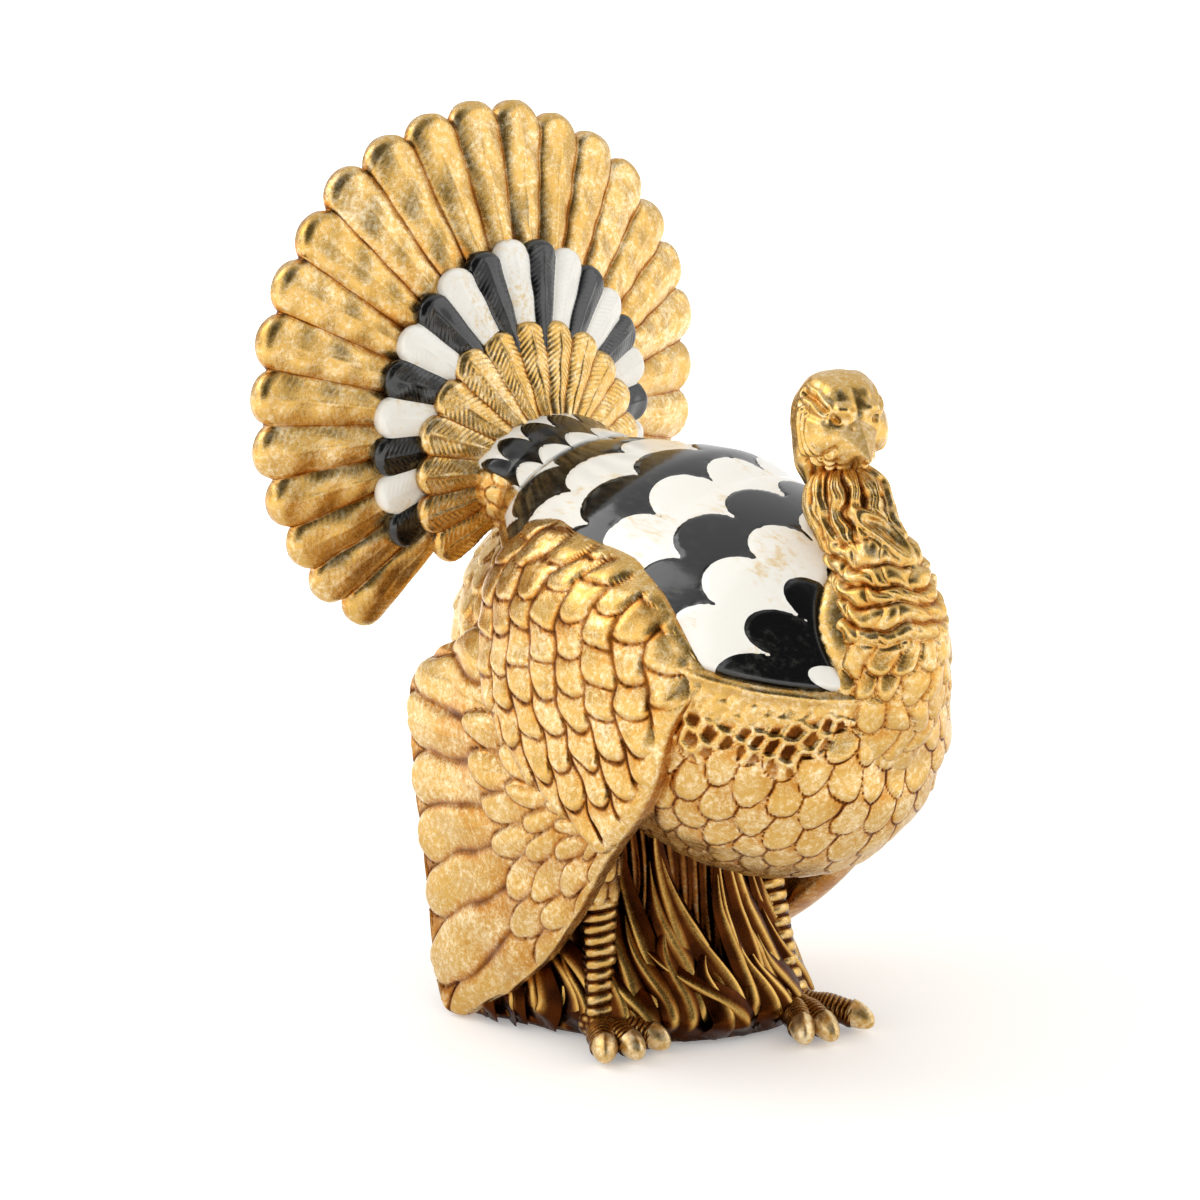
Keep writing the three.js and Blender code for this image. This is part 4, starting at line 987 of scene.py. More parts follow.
def build_beak():
    """The beak: a wedge whose rings shrink to its tip. Its upper part is nearly a triangle, with a rounded
    ridge that curves down to the tip. The lower part is flatter and set back, below the mouth's groove."""
    s = 1 - np.linspace(1, 0, 80)[:, None] ** 1.3
    a = full_turn(120)
    forward = HEAD_HALF[1] * 0.6 + (HEAD_HALF[1] * 0.02 + BEAK_LENGTH) * s
    ridge = BEAK_RIDGE - (BEAK_DROP + BEAK_RIDGE) * s**1.9
    mouth = -0.4 * MM - (BEAK_DROP - 0.2 * MM) * s**1.35
    half_width = BEAK_HALF_WIDTH * (1 - s) ** 0.92 + 0.35 * MM * (1 - s)
    up = np.sin(a)
    across = np.cos(a)
    wedge = lerp(1 - np.abs(across), np.abs(up), 0.38)
    upper = mouth + (ridge - mouth) * wedge
    lower = mouth - 4.6 * MM * (1 - s) ** 0.6 * np.abs(up)
    slot = smooth(-up, 0.02, 0.22)
    width = half_width * across * np.where(up > 0, 1, 1 - 0.2 * slot)
    height = np.where(up > 0, upper, lower)
    points = HEAD_CENTRE + forward[..., None] * HEAD_FORWARD
    points = points + width[..., None] * HEAD_SIDE + height[..., None] * UP
    normal = normals_of(points)
    pit = np.hypot((s - 0.47) * 26, (np.abs(across) - 0.5) * 8)
    points = points - normal * (0.8 * MM * bump(pit, 0.9) * (up > 0))[..., None]
    line = bump(up + 0.1, 0.1)
    relief = np.clip(np.where(up > 0, 1, 0.5) - 0.85 * line - 0.8 * bump(pit, 1.1) * (up > 0), 0.03, 1)
    relief = relief * lerp(0.35, 1, smooth(s, 0.08, 0.3))
    return closed_mesh("beak", points, relief=relief, tint=np.full_like(relief, 0.9))


# Legs, feet and grass
SCUTE_PITCH = 5.8 * MM
SCALE_PITCH = 3.4 * MM
THIGH_ROW = 11 * MM
TOE_RING_PITCH = 2.5 * MM
KNUCKLE_RADIUS = 9.6 * MM
KNUCKLE_HALF_HEIGHT = 9.2 * MM


def leg_ends(side):
    """The ankle and the hip of a leg."""
    ends = ((side["ankle_shares"], ANKLE_Z), (side["hip_shares"], HIP_Z))
    return [np.array([x * BASE_HALF_WIDTH, -y * BASE_FRONT_REACH, z]) for (x, y), z in ends]


def small_scales(row, turn):
    """Small scales round a leg or a knuckle: the sine of the row times the sine of the turn. Each row is
    moved round against the last."""
    return np.abs(np.sin(np.pi * row)) * np.abs(np.sin(6 * turn + np.floor(row) * 1.57))


def build_leg(name, side):
    """A leg: a cone from the ankle to the thigh. Broad scutes step down its front, and small scales lie
    beside them; the thigh is feathered."""
    ankle, hip = leg_ends(side)
    t = np.linspace(0, 1, 200)[:, None]
    turn = full_turn(84)
    t, turn = np.broadcast_arrays(t, turn)
    radius = LEG_RADIUS * (1.04 + LEG_SWELL * t**2 + 0.2 * bump(t - 0.02, 0.07))
    height = t * (HIP_Z - ANKLE_Z)
    front = smooth(-np.sin(turn + 0.5), 0.25, 0.6)
    plate = height / SCUTE_PITCH + 0.12 * np.cos(turn * 2)
    scute = 1 - np.abs(2 * (plate % 1) - 1) ** 2.4
    relief = lerp(0.5 * small_scales(height / SCALE_PITCH, turn) ** 0.6, scute, front)
    thigh = smooth(t, 0.66, 0.76)
    tip, _, across, _, _ = feathers(12 - height / THIGH_ROW, turn / (2 * np.pi) * 7, 0.6)
    relief = lerp(relief, feather_relief(tip, across, edge=0.2), thigh)
    grid = ankle + (hip - ankle) * t[..., None] + vec(radius * np.cos(turn), radius * np.sin(turn), 0)
    offset = (relief - 0.5) * lerp(1.5, 2.2, thigh) * MM + unevenness(grid, 14 * MM, 41) * 0.4 * MM
    return closed_mesh(name, grid + normals_of(grid) * offset[..., None], relief=relief, tint=relief * 0)


def toe_path(side, turn, s):
    """A toe's line from the ankle outwards: it comes down, lies flat and ends by the claw's root."""
    ankle = leg_ends(side)[0]
    heading = turn * DEGREE
    reach = s * side["reach_share"] * TOE_REACH
    z = TOE_GROUND_GAP + TOE_RADIUS * 0.9 + 3.4 * MM * (1 - s) ** 1.5 + 1.5 * MM * bump(s - 0.62, 0.2)
    return vec(ankle[0] - math.sin(heading) * reach, ankle[1] - math.cos(heading) * reach, z)


def sweep(path, half_width, half_height, turn):
    """Level rings of a half width and a half height about a path that runs level or nearly so."""
    along = unit(np.gradient(path, axis=0))
    across = unit(np.cross(along, UP))
    rise = np.cross(across, along)
    level = across[:, None] * (half_width * np.cos(turn))[..., None]
    upright = rise[:, None] * (half_height * np.sin(turn))[..., None]
    return path[:, None] + level + upright


def build_foot(name, side):
    """A foot: a knuckle at the ankle and three plump toes with fine rings across them."""
    turn = full_turn(48)
    s = np.linspace(0, 1, 104)[:, None]
    grids, reliefs = [], []
    for toe_turn in side["toe_turns"]:
        path = toe_path(side, toe_turn, s[:, 0] * 0.84)
        length = s * side["reach_share"] * TOE_REACH
        ring = np.abs(np.sin(np.pi * length / TOE_RING_PITCH)) ** 0.7
        ring = lerp(1, ring, smooth(np.sin(turn), -0.3, 0.2))
        pad = 1 + 0.07 * np.cos(2 * np.pi * (s * 2.1 - 0.1))
        end = np.sqrt(np.clip(1 - smooth(s, 0.86, 1) ** 2, 0.05, 1))
        radius = TOE_RADIUS * 1.12 * pad * lerp(1.06, 0.96, s) * end + 0.75 * MM * (ring - 0.5)
        high = radius * np.where(np.sin(turn) < 0, 0.86, 1.0)
        grids.append(sweep(path, radius * 0.98, high, turn))
        # The relief falls to nothing towards each toe's underside, so the glaze darkens its lower half:
        # painted shade.
        shade = lerp(0.05, 0.72, ring) * smooth(np.sin(turn), -0.8, 0.35)
        reliefs.append(np.broadcast_to(shade, grids[-1].shape[:2]))
    ankle = leg_ends(side)[0]
    polar = np.linspace(0.03, np.pi - 0.03, len(s))[:, None]
    swell = (1 + 0.1 * np.abs(np.sin(3 * turn)) * np.sin(polar)) * KNUCKLE_RADIUS * np.sin(polar)
    knuckle = vec(np.cos(turn) * swell, np.sin(turn) * swell, np.cos(polar) * KNUCKLE_HALF_HEIGHT)
    grids.append(knuckle + [ankle[0], ankle[1], TOE_GROUND_GAP + KNUCKLE_HALF_HEIGHT])
    shade = 0.3 + 0.5 * small_scales(polar * 9 / np.pi, turn)
    reliefs.append(np.broadcast_to(shade, grids[-1].shape[:2]))
    relief = np.stack(reliefs)
    grid = np.stack(grids)
    grid[..., 2] = np.maximum(grid[..., 2], TOE_GROUND_GAP)
    return closed_mesh(name, grid, relief=relief, tint=relief * 0)


def build_claws(name, side):
    """The claws: blunt curved nails over the ends of the toes, with a blunt ridge along the top."""
    turn = full_turn(48)
    s = np.sin(np.linspace(0, np.pi / 2, 60))[:, None]
    grids = []
    for toe_turn in side["toe_turns"]:
        path = toe_path(side, toe_turn, 0.73 + s[:, 0] * 0.27)
        path[:, 2] += 0.6 * MM - 2.2 * MM * s[:, 0] ** 2
        radius = TOE_RADIUS * 1.08 * (1 - s**2.6) ** 0.5 * lerp(1, 0.86, s)
        high = radius * np.where(np.sin(turn) > 0, 1.04 + 0.1 * bump(np.cos(turn), 0.3), 0.9)
        grids.append(sweep(path, radius * 0.94, high, turn))
    grid = np.stack(grids)
    grid[..., 2] = np.maximum(grid[..., 2], TOE_GROUND_GAP)
    # The relief is lower under each claw than on its top, so less bright leaf shows underneath: painted shade.
    relief = (0.55 + 0.45 * smooth(np.sin(turn), -0.5, 0.3)) * smooth(s, 0, 0.25) ** 0.5
    relief = np.broadcast_to(relief, grid.shape[:3])
    return closed_mesh(name, grid, relief=relief, tint=relief * 0 + 2)


def loop_at(table, p):
    """A smooth closed line through a table of points, p from 0 to 1 once round it."""
    count = len(table)
    place = (p % 1) * count
    row = np.floor(place).astype(int)
    rows = (table[(row + k) % count] for k in (-1, 0, 1, 2))
    return curve_through(*rows, (place - row)[..., None])


def base_surface(p, z):
    """The mound's side at a place round its outline and a height: the outline is drawn in and turned as it
    rises."""
    rise = (z - BASE_BOTTOM_Z) / (BASE_HEIGHT - BASE_BOTTOM_Z)
    rises, shares = np.array(BASE_SHARES).T
    share = np.interp(rise, rises, shares)
    flat = loop_at(BASE_OUTLINE_SHARES, p) * [BASE_HALF_WIDTH, BASE_FRONT_REACH] * share[..., None]
    twist = BASE_TWIST * rise
    x, y = flat[..., 0], flat[..., 1]
    return vec(x * np.cos(twist) - y * np.sin(twist), x * np.sin(twist) + y * np.cos(twist), z)


def build_mound():
    """The mound under the grass: its side with upright flutes."""
    z = np.linspace(BASE_BOTTOM_Z, BASE_HEIGHT - 3 * MM, 44)[:, None]
    p = np.linspace(0, 1, 340, endpoint=False)[None]
    p, z = np.broadcast_arrays(p, z)
    grid = base_surface(p + 0.012 * np.sin(z / (16 * MM) + 9 * p), z)
    flute = np.abs(np.sin(np.pi * (p * 46 + 0.8 * np.sin(z / (19 * MM)))))
    normal = normals_of(grid)
    inset = 2.2 * MM * (1 - flute**0.6) + 1.2 * MM
    foot = smooth(z, BASE_BOTTOM_Z + 2 * MM, BASE_BOTTOM_Z + 11 * MM)
    edge = 1.6 * MM * (1 - smooth(z, BASE_BOTTOM_Z + 3 * MM, BASE_BOTTOM_Z))
    edge = edge + unevenness(grid, 30 * MM, 51) * 0.7 * MM
    grid = grid + normal * lerp(edge, -inset, foot)[..., None]
    return closed_mesh("mound", grid, relief=0.1 + 0.4 * flute**2, tint=flute * 0)


# Tiers of grass: the blades' lengths, and how many millimetres they stand off the mound
TIER_LENGTHS = np.array([102, 78, 54]) * MM
TIER_LIFTS = np.array([-0.2, 1.5, 3.2])


def build_grass(sizes):
    """The grass: broad blades that lean and overlap round the mound, in tiers. Each blade is a pointed leaf
    along a curved line on the mound's side. It rises to a sharp crest off its middle, and its faces
    swell to its edges: the height is a sum of powers of the distance from the crest."""
    count = sizes.blade_count
    draw = np.random.default_rng(7)
    tier = np.arange(count) % len(TIER_LENGTHS)
    place = (np.arange(count) + draw.uniform(-0.45, 0.45, count)) / count
    start = BASE_BOTTOM_Z - 0.2 * MM + draw.uniform(0, 1.5 * MM, count)
    length = TIER_LENGTHS[tier] * draw.uniform(0.75, 1.08, count)
    lean = draw.normal(-0.055, 0.034, count)
    s = np.linspace(0, 1, 34)[:, None]
    turn = np.linspace(0, 2 * np.pi, 22, endpoint=False)
    p = place[:, None] + lean[:, None] * s[:, 0] ** 1.6 + 0.009 * np.sin(2 * np.pi * s[:, 0])
    z = np.minimum(start[:, None] + length[:, None] * s[:, 0], BASE_HEIGHT - 4 * MM)
    path = base_surface(p, z)
    out = unit(vec(path[..., 0], path[..., 1], 0 * z))
    lift = TIER_LIFTS[tier][:, None] + draw.uniform(-0.5, 0.6, (count, 1))
    lift = lift + 1.6 * np.sin(np.pi * s[:, 0]) - 2.6 * (1 - smooth(s[:, 0], 0, 0.16))
    path = path + out * (lift * MM)[..., None]
    along = unit(np.gradient(path, axis=1))
    across = unit(np.cross(along, out))
    leaf = (1 - s[:, 0] ** 1.9) ** 0.8 * lerp(1.2, 1, smooth(s[:, 0], 0, 0.12))
    half_width = draw.uniform(6.2, 8.8, (count, 1)) * MM * leaf
    crest = draw.choice([-0.45, -0.15, 0.4], (count, 1, 1))
    side = np.cos(turn)
    from_crest = np.where(side > crest, (side - crest) / (1 - crest), (crest - side) / (1 + crest))
    fold = lerp(1 - from_crest**2, (1 - np.clip(from_crest, 0, 1)) ** 2, 0.3)
    high = np.where(np.sin(turn) >= 0, fold, -0.4 * np.abs(np.sin(turn))) * 5.2 * MM * (1 - 0.75 * s**2)
    high = high * lerp(0.15, 1, smooth(s, 0, 0.22))
    high = high + draw.uniform(-1.8, 1.8, (count, 1, 1)) * side * MM * leaf[..., None]
    grid = path[:, :, None] + across[:, :, None] * (half_width[..., None] * side)[..., None]
    grid = grid + out[:, :, None] * high[..., None]
    grid[..., 2] = np.maximum(grid[..., 2], BASE_BOTTOM_Z)
    gilt = draw.uniform(0, 0.3, (count, 1, 1))
    relief = 0.7 * gilt + (1 - 0.7 * gilt) * (1 - np.clip(from_crest, 0, 1)) ** 2.4
    relief = np.clip(relief * (np.sin(turn) > -0.1) * lerp(1.1, 0.85, s)[None], 0, 1)
    relief = relief * smooth(z, BASE_BOTTOM_Z, BASE_BOTTOM_Z + 13 * MM)[..., None]
    tint = np.broadcast_to(draw.uniform(-4, -2, (count, 1, 1)), grid.shape[:3])
    return closed_mesh("grass_blades", grid, relief=np.broadcast_to(relief, grid.shape[:3]), tint=tint)


# Materials. The real sizes of what they show: flakes, patches and grain in gold leaf, then brush strokes,
# washes and wavering edges in enamel.
FLAKE_SIZE = 2.6 * MM
PATCH_SIZE = 15 * MM
GRAIN_SIZE = 0.9 * MM
STROKE_SIZE = 2.4 * MM
WASH_SIZE = 26 * MM
WOBBLE_SIZE = 5 * MM


def linear(hex_colour):
    """An sRGB hex value, as linear red, green, blue and alpha."""
    parts = [int(hex_colour[i : i + 2], 16) / 255 for i in (1, 3, 5)]
    return (*(c / 12.92 if c <= 0.04045 else ((c + 0.055) / 1.055) ** 2.4 for c in parts), 1.0)


def per(size):
    """A texture's scale for features of a real size."""
    return 1 / size


def add(tree, kind, settings=None, inputs=None):
    """Adds a node with its own settings, and gives its sockets values or links them from other nodes."""
    node = tree.nodes.new(kind)
    for key, value in (settings or {}).items():
        setattr(node, key, value)
    for key, value in (inputs or {}).items():
        if isinstance(value, bpy.types.Node):
            value = next(s for s in value.outputs if s.enabled)
        if isinstance(value, bpy.types.NodeSocket):
            tree.links.new(value, node.inputs[key])
        else:
            node.inputs[key].default_value = value
    return node


def new_material(name):
    """An empty node material, its tree and its object coordinates."""
    material = bpy.data.materials.new(name)
    material.use_nodes = True
    tree = material.node_tree
    tree.nodes.clear()
    return material, tree, add(tree, "ShaderNodeTexCoord").outputs["Object"]


def finish_material(tree, shader):
    """Links a shader to the material's output."""
    add(tree, "ShaderNodeOutputMaterial", None, {"Surface": shader})


def gilding(name, colours, umber, worn, glaze, gloss, metal=0.96, fade=0.4):
    """Gold leaf laid over an orange bole on cast resin, then glazed with umber. To the eye it is bright broken
    leaf on the high places, orange where the leaf has worn through, and brown in the seams. worn is the share
    of bole that shows, glaze is how far up from the seams the umber reaches, and gloss is the roughness of
    whole leaf. metal is how much of a metal's shine it has, and fade is how softly the glaze ends."""
    material, tree, place = new_material(name)
    relief = add(tree, "ShaderNodeAttribute", {"attribute_name": "relief"}).outputs["Fac"]
    tint = add(tree, "ShaderNodeAttribute", {"attribute_name": "tint"}).outputs["Fac"]
    flakes = add(tree, "ShaderNodeTexNoise", None, {
        "Vector": place, "Scale": per(FLAKE_SIZE), "Detail": 7.0, "Roughness": 0.78, "Distortion": 0.4})
    patches = add(tree, "ShaderNodeTexNoise", None, {
        "Vector": place, "Scale": per(PATCH_SIZE), "Detail": 3.0})
    grain = add(tree, "ShaderNodeTexNoise", None, {
        "Vector": place, "Scale": per(GRAIN_SIZE), "Detail": 3.0})
    # Bright leaf, in flakes and patches, and a little more of it on some feathers
    pale = add(tree, "ShaderNodeMath", {"operation": "MULTIPLY_ADD"}, {
        0: patches.outputs["Fac"], 1: 0.22, 2: flakes.outputs["Fac"]})
    pale = add(tree, "ShaderNodeMath", {"operation": "MULTIPLY_ADD"}, {0: tint, 1: 0.05, 2: pale})
    pale = add(tree, "ShaderNodeMapRange", {"interpolation_type": "SMOOTHSTEP"}, {
        "Value": pale, "From Min": 0.56, "From Max": 0.9, "To Min": 0.0, "To Max": 1.0})
    colour = add(tree, "ShaderNodeMix", {"data_type": "RGBA"}, {
        0: pale, 6: colours.leaf, 7: colours.bright_leaf}).outputs[2]
    # Bole, where flakes and patches are dark, and more of it in the hollows
    hollow = add(tree, "ShaderNodeMapRange", None, {
        "Value": relief, "From Min": 0.15, "From Max": 0.95, "To Min": 0.34, "To Max": -0.04})
    bare = add(tree, "ShaderNodeMath", {"operation": "MULTIPLY_ADD"}, {
        0: flakes.outputs["Fac"], 1: -0.5, 2: 1.0})
    bare = add(tree, "ShaderNodeMath", {"operation": "MULTIPLY_ADD"}, {
        0: patches.outputs["Fac"], 1: -0.35, 2: bare})
    bare = add(tree, "ShaderNodeMath", {"operation": "ADD"}, {0: bare, 1: hollow})
    bare = add(tree, "ShaderNodeMapRange", {"interpolation_type": "SMOOTHSTEP"}, {
        "Value": bare, "From Min": 0.66 - worn, "From Max": 0.98 - worn, "To Min": 0.0, "To Max": 1.0})
    colour = add(tree, "ShaderNodeMix", {"data_type": "RGBA"}, {
        0: bare, 6: colour, 7: colours.bole}).outputs[2]
    # Glaze, from the seams up to an uneven height, and darker where it pools. Where a piece lowers its
    # relief as painted shade, and on the breast's net as a painted reflection, the glaze paints those too.
    reach = add(tree, "ShaderNodeMath", {"operation": "MULTIPLY_ADD"}, {
        0: patches.outputs["Fac"], 1: 0.3, 2: relief})
    reach = add(tree, "ShaderNodeMath", {"operation": "MULTIPLY_ADD"}, {
        0: grain.outputs["Fac"], 1: 0.16, 2: reach})
    dark = add(tree, "ShaderNodeMapRange", {"interpolation_type": "SMOOTHSTEP"}, {
        "Value": reach, "From Min": 0.22 + glaze, "From Max": 0.22 + glaze + fade,
        "To Min": 1.0, "To Max": 0.0})
    pool = add(tree, "ShaderNodeMapRange", None, {
        "Value": patches.outputs["Fac"], "From Min": 0.38, "From Max": 0.6, "To Min": 0.0, "To Max": 1.0})
    pooled = (*(0.45 * c for c in umber[:3]), 1.0)
    umber = add(tree, "ShaderNodeMix", {"data_type": "RGBA"}, {0: pool, 6: pooled, 7: umber}).outputs[2]
    colour = add(tree, "ShaderNodeMix", {"data_type": "RGBA"}, {0: dark, 6: colour, 7: umber}).outputs[2]
    roughness = add(tree, "ShaderNodeMapRange", None, {
        "Value": flakes.outputs["Fac"], "From Min": 0.35, "From Max": 0.65,
        "To Min": gloss, "To Max": gloss + 0.14})
    low = add(tree, "ShaderNodeBump", None, {
        "Strength": 0.5, "Distance": 0.3 * MM, "Height": flakes.outputs["Fac"]})
    fine = add(tree, "ShaderNodeBump", None, {
        "Strength": 0.4, "Distance": 0.1 * MM, "Height": grain.outputs["Fac"], "Normal": low})
    finish_material(tree, add(tree, "ShaderNodeBsdfPrincipled", None, {
        "Base Color": colour, "Metallic": metal, "Roughness": roughness, "Normal": fine}))
    return material


def enamel(name, colours, edge):
    """Glossy enamel brushed on by hand: ivory with ochre in the strokes, black with olive in them, and a dark
    line where they meet. To the eye it is wet-looking, with faint strokes that catch the light."""
    material, tree, place = new_material(name)
    ink = add(tree, "ShaderNodeAttribute", {"attribute_name": "ink"}).outputs["Fac"]
    wobble = add(tree, "ShaderNodeTexNoise", None, {
        "Vector": place, "Scale": per(WOBBLE_SIZE), "Detail": 3.0})
    drift = add(tree, "ShaderNodeMath", {"operation": "MULTIPLY_ADD"}, {
        0: wobble.outputs["Fac"], 1: 0.2, 2: ink})
    black = add(tree, "ShaderNodeMapRange", {"interpolation_type": "SMOOTHSTEP"}, {
        "Value": drift, "From Min": edge - 0.04, "From Max": edge + 0.04, "To Min": 0.0, "To Max": 1.0})
    strokes = add(tree, "ShaderNodeMapping", None, {"Vector": place, "Scale": (1.0, 0.22, 1.0)})
    strokes = add(tree, "ShaderNodeTexNoise", None, {
        "Vector": strokes, "Scale": per(STROKE_SIZE), "Detail": 4.0, "Roughness": 0.6})
    wash = add(tree, "ShaderNodeTexNoise", None, {"Vector": place, "Scale": per(WASH_SIZE), "Detail": 2.0})
    warm = add(tree, "ShaderNodeMath", {"operation": "MULTIPLY"}, {
        0: strokes.outputs["Fac"], 1: wash.outputs["Fac"]})
    warm = add(tree, "ShaderNodeMapRange", {"interpolation_type": "SMOOTHSTEP"}, {
        "Value": warm, "From Min": 0.27, "From Max": 0.5, "To Min": 0.0, "To Max": 0.85})
    pale = add(tree, "ShaderNodeMix", {"data_type": "RGBA"}, {
        0: warm, 6: colours.ivory, 7: colours.ochre}).outputs[2]
    deep = add(tree, "ShaderNodeMix", {"data_type": "RGBA"}, {
        0: warm, 6: colours.black, 7: colours.olive}).outputs[2]
    colour = add(tree, "ShaderNodeMix", {"data_type": "RGBA"}, {0: black, 6: pale, 7: deep}).outputs[2]
    roughness = add(tree, "ShaderNodeMapRange", None, {
        "Value": strokes.outputs["Fac"], "From Min": 0.3, "From Max": 0.7, "To Min": 0.1, "To Max": 0.22})
    bump_node = add(tree, "ShaderNodeBump", None, {
        "Strength": 0.35, "Distance": 0.2 * MM, "Height": strokes.outputs["Fac"]})
    finish_material(tree, add(tree, "ShaderNodeBsdfPrincipled", None, {
        "Base Color": colour, "Metallic": 0.0, "Roughness": roughness, "Coat Weight": 0.25,
        "Coat Roughness": 0.06, "Normal": bump_node}))
    return material


def plain(name, pale, dark, grain, stretch, metallic, roughness, depth):
    """A finish of two close colours in a grain of a real size: felt, rubber, drawn steel or bare beech. The
    grain is stretched along Z where the stuff is drawn or grown that way."""
    material, tree, place = new_material(name)
    place = add(tree, "ShaderNodeMapping", None, {"Vector": place, "Scale": (1.0, 1.0, 1 / stretch)})
    noise = add(tree, "ShaderNodeTexNoise", None, {"Vector": place, "Scale": per(grain), "Detail": 4.0})
    colour = add(tree, "ShaderNodeMix", {"data_type": "RGBA"}, {
        0: noise.outputs["Fac"], 6: dark, 7: pale}).outputs[2]
    bump_node = add(tree, "ShaderNodeBump", None, {
        "Strength": 0.6, "Distance": depth, "Height": noise.outputs["Fac"]})
    finish_material(tree, add(tree, "ShaderNodeBsdfPrincipled", None, {
        "Base Color": colour, "Metallic": metallic, "Roughness": roughness, "Normal": bump_node}))
    return material


# Stage
FLOOR_SIDE = 12.0
FLOOR_NEAR = 0.25
FLOOR_FAR = 1.1
DARK_CEILING = (-0.45, -0.6, 0.65)
LIGHTS = (
    {"name": "rear_softbox", "place": (-1.2, 1.3, 1.7), "aim": (0, 0, 0.2), "size": 1.4, "power": 14},
    {"name": "front_softbox", "place": (1.7, -1.6, 1.0), "aim": (0, 0, 0.2), "size": 1.5, "power": 7},
    {"name": "side_softbox", "place": (-2.2, 0.2, 0.9), "aim": (0, 0, 0.2), "size": 1.4, "power": 6},
)


def seen_white(tree):
    """1 for the camera, for reflections and through clear stuff, and 0 for the light that falls on things."""
    ray = add(tree, "ShaderNodeLightPath")
    seen = add(tree, "ShaderNodeMath", {"operation": "MAXIMUM"}, {
        0: ray.outputs["Is Camera Ray"], 1: ray.outputs["Is Glossy Ray"]})
    return add(tree, "ShaderNodeMath", {"operation": "MAXIMUM"}, {
        0: seen, 1: ray.outputs["Is Transmission Ray"]})


def build_floor():
    """A square floor under the object. The camera and reflections see it white, less the object's shadow."""
    half = FLOOR_SIDE / 2
    corners = [(-half, -half, 0), (half, -half, 0), (half, half, 0), (-half, half, 0)]
    mesh = bpy.data.meshes.new("floor")
    mesh.from_pydata(corners, [], [(0, 1, 2, 3)])
    floor = bpy.data.objects.new("floor", mesh)
    bpy.context.collection.objects.link(floor)
    # Matt white paper: even and without gloss, with a tooth too fine to see.
    material, tree, place = new_material("matt_white_paper")
    tooth = add(tree, "ShaderNodeTexNoise", None, {"Vector": place, "Scale": per(2 * MM)})
    roughness = add(tree, "ShaderNodeMapRange", None, {"Value": tooth, "To Min": 0.9, "To Max": 1.0})
    away = add(tree, "ShaderNodeVectorMath", {"operation": "LENGTH"}, {0: place}).outputs["Value"]
    glow = add(tree, "ShaderNodeMapRange", {"interpolation_type": "SMOOTHSTEP"}, {
        "Value": away, "From Min": FLOOR_NEAR, "From Max": FLOOR_FAR, "To Min": 0.26, "To Max": 1.0})
    glow = add(tree, "ShaderNodeMath", {"operation": "MULTIPLY"}, {0: glow, 1: seen_white(tree)})
    finish_material(tree, add(tree, "ShaderNodeBsdfPrincipled", None, {
        "Base Color": linear("#F6F4F1"), "Roughness": roughness, "Specular IOR Level": 0.1,
        "Emission Color": linear("#FFFFFF"), "Emission Strength": glow}))
    mesh.materials.append(material)


def build_world():
    """A white studio. Reflections see it white, but for a dark part of the ceiling over the camera. It lights
    the object evenly."""
    world = bpy.data.worlds.new("studio")
    bpy.context.scene.world = world
    world.use_nodes = True
    tree = world.node_tree
    tree.nodes.clear()
    ray = add(tree, "ShaderNodeLightPath")
    direction = add(tree, "ShaderNodeTexCoord").outputs["Generated"]
    ahead = add(tree, "ShaderNodeVectorMath", {"operation": "DOT_PRODUCT"}, {
        0: direction, 1: Vector(DARK_CEILING).normalized()}).outputs["Value"]
    ceiling = add(tree, "ShaderNodeMapRange", {"interpolation_type": "SMOOTHSTEP"}, {
        "Value": ahead, "From Min": 0.62, "From Max": 0.88, "To Min": 1.0, "To Max": 0.06})
    mirrored = add(tree, "ShaderNodeMix", {"data_type": "FLOAT"}, {
        0: ray.outputs["Is Glossy Ray"], 2: 1.0, 3: ceiling}).outputs[0]
    lit = add(tree, "ShaderNodeMapRange", None, {"Value": seen_white(tree), "To Min": 0.88, "To Max": 1.0})
    strength = add(tree, "ShaderNodeMath", {"operation": "MULTIPLY"}, {0: lit, 1: mirrored})
    background = add(tree, "ShaderNodeBackground", None, {"Color": linear("#FFFFFF"), "Strength": strength})
    add(tree, "ShaderNodeOutputWorld", None, {"Surface": background})


def add_light(name, place, aim, size, power):
    """A square soft light that faces a point."""
    lamp = bpy.data.lights.new(name, "AREA")
    lamp.size = size
    lamp.energy = power
    light = bpy.data.objects.new(name, lamp)
    bpy.context.collection.objects.link(light)
    light.location = place
    light.rotation_euler = (Vector(aim) - light.location).to_track_quat("-Z", "Y").to_euler()


def add_camera():
    """The camera, at the photograph's angle."""
    data = bpy.data.cameras.new("camera")
    data.sensor_width = SENSOR_WIDTH
    data.lens = SENSOR_WIDTH * CAMERA_FOCAL_PIXELS / IMAGE_SIDE
    camera = bpy.data.objects.new("camera", data)
    bpy.context.collection.objects.link(camera)
    a, e = CAMERA_AZIMUTH, CAMERA_ELEVATION
    back = Vector((math.sin(a) * math.cos(e), -math.cos(a) * math.cos(e), math.sin(e)))
    camera.location = CAMERA_TARGET + back * CAMERA_DISTANCE
    camera.rotation_euler = back.to_track_quat("Z", "Y").to_euler()
    bpy.context.scene.camera = camera


